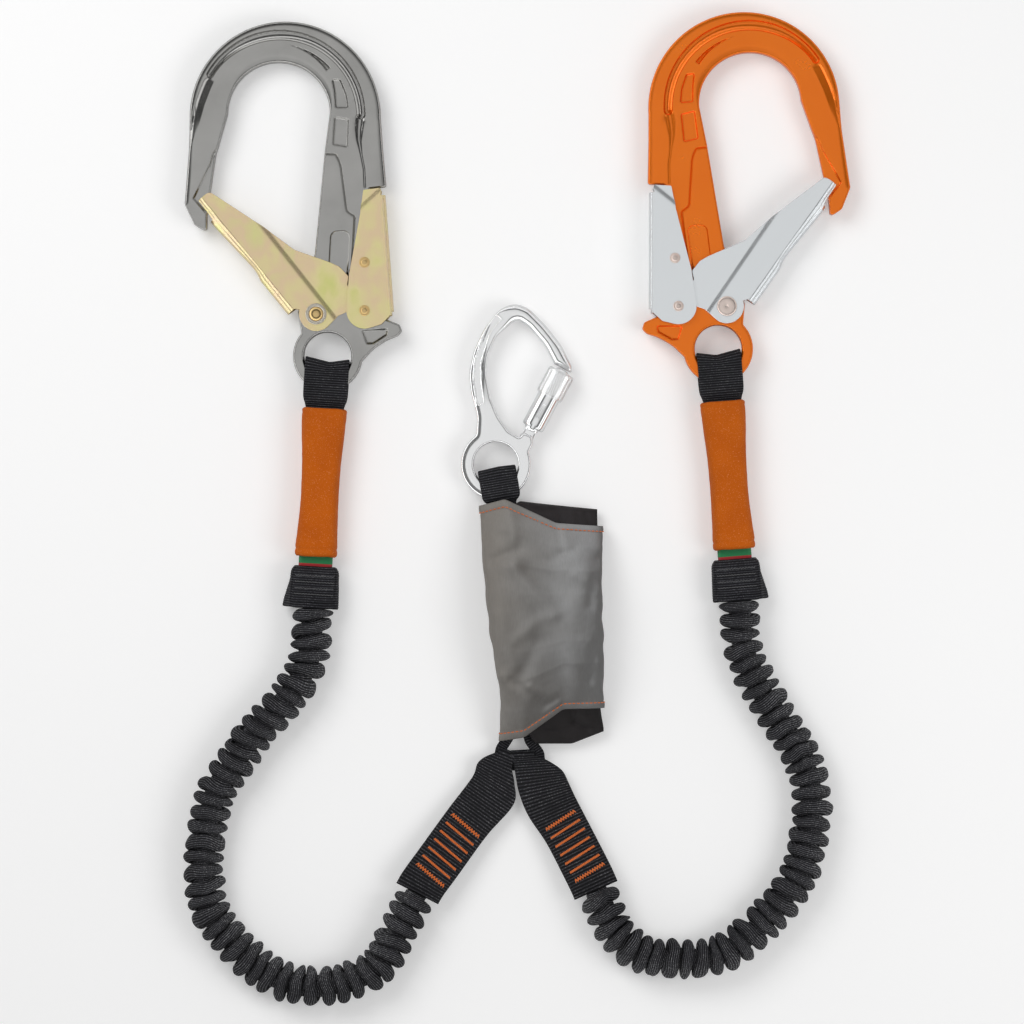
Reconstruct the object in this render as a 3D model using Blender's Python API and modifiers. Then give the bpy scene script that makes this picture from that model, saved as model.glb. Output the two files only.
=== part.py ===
# Twin shock-absorbing lanyard: two scaffold hooks on gathered elastic legs,
# joined below a folded tear-webbing absorber that hangs from a locking carabiner.
# It lies flat: +X right, +Y towards the hooks, +Z up from the surface it rests on.
# Metres throughout. Every hook is modelled as the left one; the right one is its mirror image.

import math

import bmesh
import bpy
from mathutils import Matrix, Vector

mm = 0.001
gap = 0.3 * mm                      # between pieces that touch or nest

# Hook body, a forged plate
hook_thickness = 11.0 * mm
hook_edge = 0.9 * mm                # chamfer round the outline
arch_outer_radius = 59.2 * mm
arch_inner_radius = 31.6 * mm
eye_radius = 14.6 * mm
eye_ring_width = 6.9 * mm
tongue_thickness = 8.0 * mm         # nose where the gate closes over it
pocket_depth = 1.8 * mm
wing_recess = 0.8 * mm              # where the opened gate swings over the spine
groove_radius = 3.0 * mm
groove_arc_radius = 50.2 * mm

# Gate and lever, folded from sheet
gate_sheet = 1.5 * mm
gate_joggle = 0.8 * mm              # rise of the arm over the wing
gate_web_bulge = 4.6 * mm
lever_sheet = 1.5 * mm
lever_joggle = 1.1 * mm             # fall of the lever's top corner
lever_web_bulge = 1.7 * mm
sheet_clearance = 0.4 * mm          # each face of the body to the sheet over it
gate_pin_radius = 3.2 * mm
gate_head_radius = 6.5 * mm
gate_head_height = 2.3 * mm
lever_pin_radius = 2.3 * mm
lever_head_radius = 3.3 * mm
lever_head_height = 1.4 * mm
spring_wire = 1.1 * mm

# Webbing, grips and cuffs between a hook and its leg
webbing_thickness = 2.0 * mm
loop_width = 26.0 * mm              # where it bends through the eye
loop_sewn_width = 17.2 * mm         # inside the grip
grip_start = 32.5 * mm              # from the eye's centre
grip_length = 92.0 * mm
grip_width = 27.9 * mm
grip_waist = 23.2 * mm
grip_height = 22.0 * mm
grip_wall = 1.8 * mm
label_length = 9.0 * mm
label_width = 21.0 * mm
label_height = 8.0 * mm
label_wall = 0.7 * mm
cuff_length = 26.0 * mm
cuff_width = 31.6 * mm
cuff_height = 19.0 * mm
cuff_wall = 2.0 * mm

# Gathered elastic legs
leg_rib_radius = 13.3 * mm
leg_valley_radius = 10.2 * mm
leg_pitch = 9.9 * mm
leg_bore_radius = 6.0 * mm
core_radius = 5.0 * mm

# Doubled straps below the legs and the loop that joins them
strap_width = 27.6 * mm
strap_fold_width = 8.0 * mm         # drawn together by the lower loop
lower_loop_width = 6.4 * mm
lower_loop_thickness = 2.0 * mm
lower_loop_level = 7.0 * mm         # height of its middle plane

# Carabiner
carabiner_thickness = 10.4 * mm
carabiner_eye_radius = 13.8 * mm
carabiner_ring_width = 8.0 * mm
carabiner_edge = 2.2 * mm
gate_rod_radius = 4.7 * mm
gate_rod_length = 48.3 * mm         # from the hinge
sleeve_radius = 7.2 * mm
sleeve_start = 7.5 * mm             # from the hinge
lock_ring_radius = 8.75 * mm
lock_ring_length = 17.5 * mm
nose_gap = 0.6 * mm                 # from the closed gate's end to the nose
panel_depth = 0.5 * mm              # long recess in each side of the spine
hinge_pin_radius = 1.6 * mm
fork_half = 3.0 * mm                # half the gate's thickness inside the body's fork
top_loop_width = 22.6 * mm
top_loop_sewn_width = 16.4 * mm

# Absorber
cover_height = 38.0 * mm
cover_wall = 1.2 * mm
bag_wall = 1.0 * mm
bag_clearance = 0.9 * mm
tear_webbing_width = 41.0 * mm
tear_webbing_layers = 7
tear_webbing_length = 78.0 * mm
tear_webbing_pitch = 2.9 * mm
tear_webbing_bottom = 6.0 * mm

# Where the groups lie on the surface, before the whole is centred on its origin
centring = Vector((-0.585, -1.83, 0.0)) * mm
left_eye = Vector((-117.0, 65.0, 0.0)) * mm
right_eye = Vector((125.0, 69.4, 0.0)) * mm
carabiner_eye = Vector((-12.8, -2.0, 0.0)) * mm
right_hook_turn = math.radians(4.0)
left_leg_turn = math.radians(-3.4)
right_leg_turn = math.radians(4.6)
top_loop_turn = math.radians(9.6)

# Pivots in the hook's own plane, from the eye's centre
gate_pivot = Vector((-7.0, 25.9, 0.0)) * mm
lever_pivot = Vector((23.0, 28.0, 0.0)) * mm
lever_catch = Vector((23.0, 57.8, 0.0)) * mm
lever_travel = math.radians(6.0)

# Levels above the hook's middle plane, all worked out from the stack of pieces
hook_half = hook_thickness / 2
wing_level = hook_half + sheet_clearance
arm_level = wing_level + gate_joggle
gate_face = arm_level + gate_sheet
lever_level = wing_level + gate_sheet + sheet_clearance
lever_face = lever_level + lever_sheet
hook_height = max(lever_face + gap + lever_head_height,
                  gate_face + gap + gate_head_height,
                  grip_height / 2)
leg_height = leg_rib_radius + gap
loop_level = hook_half + sheet_clearance + webbing_thickness / 2
sewn_level = webbing_thickness / 2 + gap / 2
carabiner_half = carabiner_thickness / 2
top_loop_level = carabiner_half + sheet_clearance + webbing_thickness / 2
carabiner_height = max(lock_ring_radius, top_loop_level + webbing_thickness / 2) + gap
sleeve_bore_radius = gate_rod_radius + sheet_clearance
lock_ring_start = gate_rod_length - 1.3 * mm - lock_ring_length
cuff_start = grip_start + grip_length + 6.0 * mm
cuff_end = cuff_start + cuff_length

for leftover in list(bpy.data.objects):
    bpy.data.objects.remove(leftover, do_unlink=True)

parts = bpy.data.collections.new("twin_lanyard")
bpy.context.scene.collection.children.link(parts)


# Materials

def finish_of(name, colour, roughness, metallic=0.0):
    material = bpy.data.materials.new(name)
    material.use_nodes = True
    shader = material.node_tree.nodes["Principled BSDF"]
    shader.inputs["Base Color"].default_value = (*colour, 1.0)
    shader.inputs["Roughness"].default_value = roughness
    shader.inputs["Metallic"].default_value = metallic
    return material


grey_steel = finish_of("grey_steel", (0.30, 0.30, 0.29), 0.28, 1.0)
orange_anodised = finish_of("orange_anodised", (0.75, 0.16, 0.02), 0.30, 0.4)
yellow_zinc = finish_of("yellow_zinc", (0.66, 0.63, 0.38), 0.30, 1.0)
bright_zinc = finish_of("bright_zinc", (0.62, 0.66, 0.68), 0.28, 1.0)
polished_aluminium = finish_of("polished_aluminium", (0.80, 0.81, 0.82), 0.15, 1.0)
spring_steel = finish_of("spring_steel", (0.45, 0.45, 0.46), 0.30, 1.0)
black_webbing = finish_of("black_webbing", (0.022, 0.022, 0.026), 0.75)
black_cloth = finish_of("black_cloth", (0.025, 0.023, 0.024), 0.90)
orange_grip = finish_of("orange_grip", (0.62, 0.13, 0.02), 0.65)
grey_cloth = finish_of("grey_cloth", (0.21, 0.21, 0.20), 0.85)
green_label = finish_of("green_label", (0.0, 0.18, 0.07), 0.55)
elastic_rubber = finish_of("elastic_rubber", (0.10, 0.10, 0.10), 0.70)


# Outlines

def arc(centre, radius, start, end, steps):
    """Points along an arc, angles in degrees, both ends included."""
    turns = [math.radians(start + (end - start) * k / steps) for k in range(steps + 1)]
    return [(centre[0] + radius * math.cos(a), centre[1] + radius * math.sin(a)) for a in turns]


def rounded(corners, steps=3):
    """Points of an outline whose corners are (x, y) or (x, y, corner radius)."""
    points = []
    count = len(corners)
    for k, corner in enumerate(corners):
        here = Vector(corner[:2])
        if len(corner) == 2 or corner[2] == 0:
            points.append(tuple(here))
            continue
        before = (Vector(corners[k - 1][:2]) - here).normalized()
        after = (Vector(corners[(k + 1) % count][:2]) - here).normalized()
        half = before.angle(after) / 2
        reach = corner[2] / math.tan(half)
        middle = here + (before + after).normalized() * corner[2] / math.sin(half)
        first = here + before * reach - middle
        swing = first.angle_signed(here + after * reach - middle)
        for n in range(steps + 1):
            turn = Matrix.Rotation(-swing * n / steps, 2)
            points.append(tuple(middle + turn @ first))
    return points


def in_mm(corners):
    return [tuple(value * mm for value in corner) for corner in corners]


def smooth_route(stations, count):
    """Evenly spaced points on a smooth curve through the stations."""
    dense = []
    padded = [stations[0] * 2 - stations[1], *stations, stations[-1] * 2 - stations[-2]]
    for a, b, c, d in zip(padded, padded[1:], padded[2:], padded[3:]):
        for n in range(12):
            t = n / 12
            dense.append(0.5 * (2 * b + (c - a) * t + (2 * a - 5 * b + 4 * c - d) * t * t
                                + (3 * b - a - 3 * c + d) * t ** 3))
    dense.append(stations[-1])
    travelled = [0.0]
    for a, b in zip(dense, dense[1:]):
        travelled.append(travelled[-1] + (b - a).length)
    route, k = [], 0
    for n in range(count + 1):
        goal = travelled[-1] * n / count
        while k < len(dense) - 2 and travelled[k + 1] < goal:
            k += 1
        share = (goal - travelled[k]) / (travelled[k + 1] - travelled[k])
        route.append(dense[k].lerp(dense[k + 1], min(share, 1.0)))
    return route


# Solids

def link(name, data):
    made = bpy.data.objects.new(name, data)
    parts.objects.link(made)
    return made


def as_mesh(obj):
    """Turn an object with its modifiers, or a curve, into a plain welded mesh object."""
    bpy.context.view_layer.update()
    depsgraph = bpy.context.evaluated_depsgraph_get()
    mesh = bpy.data.meshes.new_from_object(obj.evaluated_get(depsgraph))
    shaped = bmesh.new()
    shaped.from_mesh(mesh)
    bmesh.ops.remove_doubles(shaped, verts=shaped.verts, dist=0.00001)
    if obj.type == "CURVE":
        bmesh.ops.recalc_face_normals(shaped, faces=shaped.faces)
    shaped.to_mesh(mesh)
    shaped.free()
    name, place = obj.name, obj.matrix_world.copy()
    bpy.data.objects.remove(obj, do_unlink=True)
    made = link(name, mesh)
    made.matrix_world = place
    return made


def plate(name, outline, half, edge=0.0, level=0.0):
    """A flat outline given its thickness, with a chamfer round it."""
    curve = bpy.data.curves.new(name, "CURVE")
    curve.dimensions = "2D"
    curve.fill_mode = "BOTH"
    curve.extrude = half - edge
    curve.bevel_depth = edge
    curve.bevel_resolution = 0
    curve.offset = -edge
    spline = curve.splines.new("POLY")
    spline.points.add(len(outline) - 1)
    for point, (x, y) in zip(spline.points, outline):
        point.co = (x, y, 0.0, 1.0)
    spline.use_cyclic_u = True
    made = link(name, curve)
    made.location.z = level
    return plain(as_mesh(made))


def turned(name, profile, segments, axis="Z"):
    """A profile of (radius, height) points, top to bottom on the outside, turned about Z."""
    mesh = bpy.data.meshes.new(name)
    mesh.from_pydata([(r, 0.0, z) for r, z in profile], [(k, k + 1) for k in range(len(profile) - 1)], [])
    made = link(name, mesh)
    screw = made.modifiers.new("turn", "SCREW")
    screw.steps = screw.render_steps = segments
    screw.use_merge_vertices = True
    screw.merge_threshold = 0.00001
    return as_mesh(made)


def ring(name, inner, outer, half, edge, segments):
    """A flat round eye with chamfered edges."""
    profile = [(inner + edge, half), (outer - edge, half), (outer, half - edge), (outer, edge - half),
               (outer - edge, -half), (inner + edge, -half), (inner, edge - half), (inner, half - edge),
               (inner + edge, half)]
    return turned(name, profile, segments)


def peg(name, centre, radius, half, segments=12):
    """A plain cylinder across the middle plane, used as a cutter."""
    bpy.ops.mesh.primitive_cylinder_add(vertices=segments, radius=radius, depth=2 * half, location=centre)
    made = bpy.context.object
    made.name = name
    for home in list(made.users_collection):
        home.objects.unlink(made)
    parts.objects.link(made)
    return made


def tube(name, points, radius, sides=1, radii=None):
    """A round bar along points; sides is the bevel resolution."""
    curve = bpy.data.curves.new(name, "CURVE")
    curve.dimensions = "3D"
    curve.bevel_depth = radius
    curve.bevel_resolution = sides
    curve.use_fill_caps = True
    spline = curve.splines.new("POLY")
    spline.points.add(len(points) - 1)
    for k, (node, point) in enumerate(zip(spline.points, points)):
        node.co = (*point, 1.0)
        node.radius = radii[k] / radius if radii else 1.0
    return as_mesh(link(name, curve))


def combine(target, tool, operation="DIFFERENCE"):
    """Cut the tool out of the target, or join it on, and drop the tool."""
    step = target.modifiers.new(operation.lower(), "BOOLEAN")
    step.operation = operation
    step.object = tool
    name = target.name
    made = as_mesh(target)
    made.name = name
    bpy.data.objects.remove(tool, do_unlink=True)
    return made


def plain(obj):
    """Merge flat neighbouring faces that cuts and fills have left in pieces."""
    shaped = bmesh.new()
    shaped.from_mesh(obj.data)
    bmesh.ops.dissolve_limit(shaped, angle_limit=math.radians(0.3), verts=shaped.verts, edges=shaped.edges)
    shaped.to_mesh(obj.data)
    shaped.free()
    return obj


def loft(name, sections, closed):
    """An open surface through sections of equal count; closed joins each section's ends."""
    shaped = bmesh.new()
    rows = [[shaped.verts.new(point) for point in section] for section in sections]
    last = len(rows[0]) if closed else len(rows[0]) - 1
    for low, high in zip(rows, rows[1:]):
        for k in range(last):
            n = (k + 1) % len(low)
            shaped.faces.new((low[k], low[n], high[n], high[k]))
    mesh = bpy.data.meshes.new(name)
    shaped.to_mesh(mesh)
    shaped.free()
    return link(name, mesh)


def thicken(obj, wall, offset):
    shell = obj.modifiers.new("wall", "SOLIDIFY")
    shell.thickness = wall
    shell.offset = offset
    shell.use_even_offset = True
    return as_mesh(obj)


def sock(name, rings, wall, around=20, power=3.5):
    """A cloth tube: rings of (centre, half width, half height) across Y, wall grown inwards."""
    sections = []
    for centre, half_width, half_height in rings:
        section = []
        for k in range(around):
            a = 2 * math.pi * (k + 0.5) / around
            c, s = math.cos(a), math.sin(a)
            x = half_width * math.copysign(abs(c) ** (2 / power), c)
            z = half_height * math.copysign(abs(s) ** (2 / power), s)
            section.append(centre + Vector((x, 0.0, z)))
        sections.append(section)
    return thicken(loft(name, sections, True), wall, -1.0)


def band(name, stations, thickness):
    """A flat strap through stations of (centre, half-width vector)."""
    rows = [[centre - across, centre + across] for centre, across in stations]
    return thicken(loft(name, rows, False), thickness, 0.0)


def place(obj, frame, material, side=1, origin=Vector(), smooth=True):
    """Mirror for the right-hand side, set the origin, colour it and hang it on its frame."""
    mesh = obj.data
    mesh.transform(obj.matrix_basis)
    obj.matrix_basis = Matrix()
    mesh.transform(Matrix.Translation(-origin))
    if side < 0:
        mesh.transform(Matrix.Scale(-1.0, 4, (1.0, 0.0, 0.0)))
        mesh.flip_normals()
    mesh.materials.clear()
    mesh.materials.append(material)
    if smooth:
        mesh.shade_smooth()
        mesh.set_sharp_from_angle(angle=math.radians(32))
    obj.parent = frame or lanyard
    obj.location = (side * origin.x, origin.y, origin.z)
    return obj


def empty(name, location, turn=0.0):
    made = bpy.data.objects.new(name, None)
    made.empty_display_size = 0.01
    made.location = location
    made.rotation_euler.z = turn
    made.parent = parts.objects.get("lanyard_frame")
    parts.objects.link(made)
    return made


# Hook body: outline from the nose round the arch to the flare, ring, pockets and grooves

arch_centre = (-26.3 * mm, 148.0 * mm)
mouth_centre = (-30.3 * mm, 150.3 * mm)


def hook_outline():
    nose = in_mm([(-76.6, 77.8, 1.2), (-74.8, 78.6, 0.8), (-74.8, 86.6, 0.0), (-69.2, 124.5, 9.0)])
    mouth = arc(mouth_centre, arch_inner_radius, 180, 0, 13)
    spine = in_mm([(-2.0, 125.2, 30.0), (-7.9, 63.6, 20.0), (-13.0, 41.0, 8.0), (-18.4, 27.0, 6.0),
                   (-16.2, 14.0, 4.0), (-21.2, 2.0, 0.0)])
    ring_join = in_mm([(-16.0, -6.0), (10.0, -14.0), (15.6, -13.8)])
    flare = in_mm([(20.5, -4.2), (27.9, 4.1), (37.1, 10.1), (43.6, 12.4, 0.0), (46.2, 15.6, 1.6),
                   (44.6, 19.6, 1.4), (35.8, 22.8, 1.5)])
    back = in_mm([(25.4, 99.6, 2.0), (26.2, 103.7, 0.0), (36.4, 104.8, 1.4), (34.2, 130.0, 30.0)])
    crown = arc(arch_centre, arch_outer_radius, 0, 180, 20)
    tip = in_mm([(-85.8, 129.8, 30.0), (-88.6, 94.0, 4.0), (-82.4, 81.0, 3.0)])
    corners = nose + mouth + spine + ring_join + flare + back + crown + tip
    return rounded(corners, 2)


def pocket_outlines():
    """Recesses of the spine and arch, as corner lists in millimetres."""
    crescent = arc((-30.3, 150.3), 42.8, 80, 41, 5)
    for n in range(4):
        crescent += arc((-30.3, 150.3), 39.3 + 0.9 * n, 41 + 11 * n, 41 + 11 * n, 1)[:1]
    return [
        crescent,
        [(2.2, 171.8, 1.2), (8.2, 171.4, 1.8), (12.0, 162.5, 20.0), (13.4, 153.2, 1.4), (4.6, 153.2, 1.4),
         (3.8, 163.5, 20.0)],
        [(4.0, 148.6, 1.4), (13.4, 147.0, 1.4), (12.8, 128.8, 1.4), (2.8, 130.4, 1.4)],
        [(1.2, 78.0, 5.0), (15.0, 78.4, 5.0), (12.4, 42.0, 3.0), (-0.8, 42.0, 3.0)],
        [(20.6, 16.2, 1.2), (37.8, 17.4, 1.2), (36.8, 12.6, 1.0), (28.4, 7.2, 1.0), (24.0, 7.2, 1.0)],
    ]


def wing_recess_outline():
    """Panel of the spine that the gate's wings pass over, open towards the mouth."""
    return rounded(in_mm([(-30.0, 127.2), (5.4, 125.4, 2.4), (8.6, 119.5, 20.0), (12.4, 90.0, 3.0),
                          (17.6, 86.6, 2.0), (15.8, 52.0, 2.0), (-30.0, 52.0)]), 2)


def groove_route(face):
    """Channel round the arch with rounded ends, and the narrower one that runs on down the left arm."""
    level = face * (hook_half + 0.6 * mm)
    middle = (arch_centre[0] - 3.2 * mm, arch_centre[1] + 0.5 * mm)
    flat = arc(middle, groove_arc_radius, 149, 1, 16)
    run_out = in_mm([(-71.0, 172.0), (-77.5, 158.0), (-82.6, 142.0), (-86.0, 124.0)])
    return [[Vector((x, y, level)) for x, y in line] for line in (flat, run_out)]


def hook_body(name):
    body = plate(name, hook_outline(), hook_half, hook_edge)
    eye_bore = peg("eye_bore", (0, 0, 0), eye_radius + eye_ring_width / 2, 2 * hook_half, 28)
    body = combine(body, eye_bore)
    body = combine(body, ring("eye_ring", eye_radius, eye_radius + eye_ring_width, hook_half, hook_edge, 28),
                   "UNION")
    for face in (-1, 1):
        for corners in pocket_outlines():
            cutter = plate("pocket", rounded(in_mm(corners), 1), pocket_depth, 0.0, face * hook_half)
            body = combine(body, cutter)
        channel_line, run_out = groove_route(face)
        ends = [groove_radius * share for share in (0.45, 0.85)]
        radii = ends + [groove_radius] * (len(channel_line) - 4) + ends[::-1]
        body = combine(body, tube("groove", channel_line, groove_radius, 1, radii))
        radii = [groove_radius * share for share in (0.9, 0.8, 0.6, 0.35)]
        body = combine(body, tube("run_out", run_out, groove_radius, 1, radii))
        body = combine(body, plate("wing_recess", wing_recess_outline(), wing_recess, 0.0, face * hook_half))
        recess = in_mm([(-64.0, 134.0), (-83.0, 97.0), (-76.2, 89.0), (-60.0, 80.0)])
        depth = hook_half - tongue_thickness / 2
        body = combine(body, plate("tongue", recess, depth, 0.0, face * hook_half))
    body = combine(body, peg("gate_bore", gate_pivot, gate_pin_radius + gap, 2 * hook_half))
    well = spring_wire * 2.6
    for pivot, radius in ((gate_pivot, gate_pin_radius), (lever_pivot, lever_pin_radius)):
        above = pivot + Vector((0.0, 0.0, hook_half))
        body = combine(body, peg("spring_seat", above, radius + 3 * spring_wire, well, 20))
    body = combine(body, peg("lever_bore", lever_pivot, lever_pin_radius + gap, 2 * hook_half))
    far_end = lever_pivot + Matrix.Rotation(lever_travel, 3, "Z") @ (lever_catch - lever_pivot)
    slot_radius = lever_pin_radius + gap
    slot = arc(lever_catch, slot_radius, -90, 90, 6) + arc(far_end, slot_radius, 90, 270, 6)
    return plain(combine(body, plate("catch_slot", slot, 2 * hook_half)))


# Folded sheet pieces: half of a channel drawn flat, its web drawn down to the middle plane

def channel(name, outline, fold, bulge, level, step, sheet, creases):
    """outline is the side plate and fold its two points on the web side. creases are two parallel
    lines (point, direction), between which the plate rises by step from level."""
    shaped = bmesh.new()
    face = shaped.faces.new([shaped.verts.new((x, y, 0.0)) for x, y in outline])
    face.normal_update()
    if face.normal.z < 0:
        face.normal_flip()
    along = Vector(creases[0][1]).normalized()
    normal = Vector((-along.y, along.x, 0.0)) * creases[2]
    for point, _ in creases[:2]:
        bmesh.ops.bisect_plane(shaped, geom=shaped.verts[:] + shaped.edges[:] + shaped.faces[:],
                               plane_co=(*point, 0.0), plane_no=normal)
    first = Vector((*creases[0][0], 0.0))
    width = (Vector((*creases[1][0], 0.0)) - first).dot(normal)
    for vert in shaped.verts:
        share = min(max((vert.co - first).dot(normal) / width, 0.0), 1.0)
        vert.co.z = level + step * share
    ends = [Vector((*fold[0], 0.0)), Vector((*fold[1], 0.0))]
    run = (ends[1] - ends[0]).normalized()
    outward = Vector((run.y, -run.x, 0.0))
    centre = sum((vert.co for vert in shaped.verts), Vector()) / len(shaped.verts)
    if (centre - ends[0]).dot(outward) > 0:
        outward.negate()
    edges = [e for e in shaped.edges
             if all(min((Vector((v.co.x, v.co.y, 0)) - end).length for end in ends) < 1e-6 for v in e.verts)]
    for out, down in ((0.55, 0.12), (0.35, 0.28), (0.1, 0.6)):
        made = bmesh.ops.extrude_edge_only(shaped, edges=edges)["geom"]
        edges = [g for g in made if isinstance(g, bmesh.types.BMEdge)]
        for vert in {v for e in edges for v in e.verts}:
            vert.co += outward * bulge * out
            vert.co.z = max(vert.co.z - level * down, 0.0)
    for vert in {v for e in edges for v in e.verts}:
        vert.co.z = 0.0
    mesh = bpy.data.meshes.new(name)
    shaped.to_mesh(mesh)
    shaped.free()
    made = link(name, mesh)
    mirror = made.modifiers.new("other_side", "MIRROR")
    mirror.use_axis = (False, False, True)
    mirror.merge_threshold = 0.00001
    made = as_mesh(made)
    shaped = bmesh.new()
    shaped.from_mesh(made.data)
    bmesh.ops.recalc_face_normals(shaped, faces=shaped.faces)
    top = max(shaped.faces, key=lambda f: f.calc_center_median().z * (abs(f.normal.z) > 0.9))
    if top.normal.z < 0:
        bmesh.ops.reverse_faces(shaped, faces=shaped.faces)
    shaped.to_mesh(made.data)
    shaped.free()
    return thicken(made, sheet, 1.0)


gate_fold = (in_mm([(-68.3, 88.1)])[0], in_mm([(-20.1, 29.3)])[0])
lever_fold = (in_mm([(32.6, 99.4)])[0], in_mm([(38.0, 25.0)])[0])


def gate_outline():
    lobe_radius = 10.6 * mm
    wing_radius = 26.4 * mm
    tip = in_mm([(-69.8, 99.6, 0.0), (-72.6, 101.4, 2.0), (-77.6, 97.2, 1.0)])
    lobe = arc(gate_pivot, lobe_radius, 165, 318, 8)
    heel = in_mm([(6.6, 24.8), (12.0, 27.2)])
    wing_edge = arc(gate_pivot, wing_radius, 3, 43, 5)
    top = in_mm([(13.2, 49.2, 1.5), (7.5, 55.2, 3.0), (1.9, 57.8, 0.0), (-20.3, 65.6, 8.0),
                 (-34.5, 75.9, 0.0), (-49.3, 86.2, 0.0)])
    return rounded(tip + list(gate_fold) + lobe + heel + wing_edge + top, 2)


def lever_outline():
    lobe = arc(lever_pivot, 11.2 * mm, 180, 292, 8)
    heel = in_mm([(33.6, 19.6)])
    head = in_mm([(34.0, 104.0, 1.2), (22.2, 102.6, 0.5), (20.5, 88.8, 1.0), (13.4, 49.9, 8.0)])
    return rounded(lobe + heel + [lever_fold[1], lever_fold[0]] + head, 2)


def hook_gate(name):
    creases = (in_mm([(1.5, 23.5)])[0], (0.64, -0.768)), (in_mm([(5.0, 26.4)])[0], (0.64, -0.768)), 1
    gate = channel(name, gate_outline(), gate_fold, gate_web_bulge, arm_level, wing_level - arm_level,
                   gate_sheet, creases)
    return combine(gate, peg("gate_hole", gate_pivot, gate_pin_radius + gap, 2 * gate_face))


def hook_lever(name):
    creases = (in_mm([(21.3, 89.4)])[0], (0.74, 0.67)), (in_mm([(20.0, 93.0)])[0], (0.74, 0.67)), 1
    lever = channel(name, lever_outline(), lever_fold, lever_web_bulge, lever_level, -lever_joggle,
                    lever_sheet, creases)
    lever = combine(lever, peg("pivot_hole", lever_pivot, lever_pin_radius + gap, 2 * lever_face))
    return combine(lever, peg("catch_hole", lever_catch, lever_pin_radius + gap, 2 * lever_face))


def rivet(name, shank_radius, face, head_radius, head_height, dome):
    """A shank through the stack with a domed head over each outer face."""
    low = face + gap
    shoulder = low + head_height * (1 - dome)
    crown = low + head_height
    half = [(0.0, crown), (head_radius * 0.55, crown), (head_radius, shoulder), (head_radius, low),
            (shank_radius, low)]
    profile = half + [(r, -z) for r, z in reversed(half)]
    return turned(name, profile, 14)


def coil(name, centre, radius, start, end, turns, wire):
    """A torsion spring round Z between two heights."""
    points = []
    steps = int(9 * turns)
    for k in range(steps + 1):
        a = 2 * math.pi * turns * k / steps
        points.append(centre + Vector((radius * math.cos(a), radius * math.sin(a),
                                       start + (end - start) * k / steps)))
    return tube(name, points, wire / 2, 0)


def build_hook(prefix, side, body_finish, sheet_finish, location, turn):
    frame = empty(prefix + "_hook_frame", location, turn)
    place(hook_body(prefix + "_hook_body"), frame, body_finish, side)
    place(hook_gate(prefix + "_hook_gate"), frame, sheet_finish, side, gate_pivot)
    place(hook_lever(prefix + "_hook_lever"), frame, sheet_finish, side, lever_pivot)
    for label, where, radius, face, head, height, dome in (
            ("_gate_rivet", gate_pivot, gate_pin_radius, gate_face, gate_head_radius, gate_head_height, 0.6),
            ("_lever_rivet", lever_pivot, lever_pin_radius, lever_face, lever_head_radius,
             lever_head_height, 0.5),
            ("_lever_catch_pin", lever_catch, lever_pin_radius, lever_face, lever_head_radius,
             lever_head_height, 0.5)):
        pin = rivet(prefix + label, radius, face, head, height, dome)
        pin.location = where
        bpy.context.view_layer.update()
        place(pin, frame, sheet_finish, side, where)
    for label, where, radius in (("_gate_spring", gate_pivot, gate_pin_radius),
                                 ("_lever_spring", lever_pivot, lever_pin_radius)):
        spring = coil(prefix + label, where, radius + 1.5 * spring_wire, hook_half - 2 * spring_wire,
                      hook_half - spring_wire / 2, 1.3, spring_wire)
        place(spring, frame, spring_steel, side, where)
    return frame


# Loop, grip, label and cuff from a hook's eye to its leg

def eye_loop(name, level, half_width, sewn_half, neck, sewn_at, end_at, ring_edge, mouth_drop):
    """Doubled webbing: up behind the eye's ring, through the hole and down in front.
    neck is where it enters its sleeve, as (distance, level, half width)."""
    profile = [(end_at, sewn_level, sewn_half), (sewn_at, sewn_level, sewn_half), neck,
               (ring_edge, level, half_width), (mouth_drop + 2.6 * mm, level, half_width),
               (mouth_drop + 0.6 * mm, level - 0.9 * mm, half_width),
               (mouth_drop, level - 2.4 * mm, half_width), (mouth_drop, 0.0, half_width)]
    stations = [(Vector((0.0, -y, -z)), Vector((w, 0.0, 0.0))) for y, z, w in profile]
    stations += [(Vector((0.0, -y, z)), Vector((w, 0.0, 0.0))) for y, z, w in reversed(profile[:-1])]
    return band(name, stations, webbing_thickness)


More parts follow.
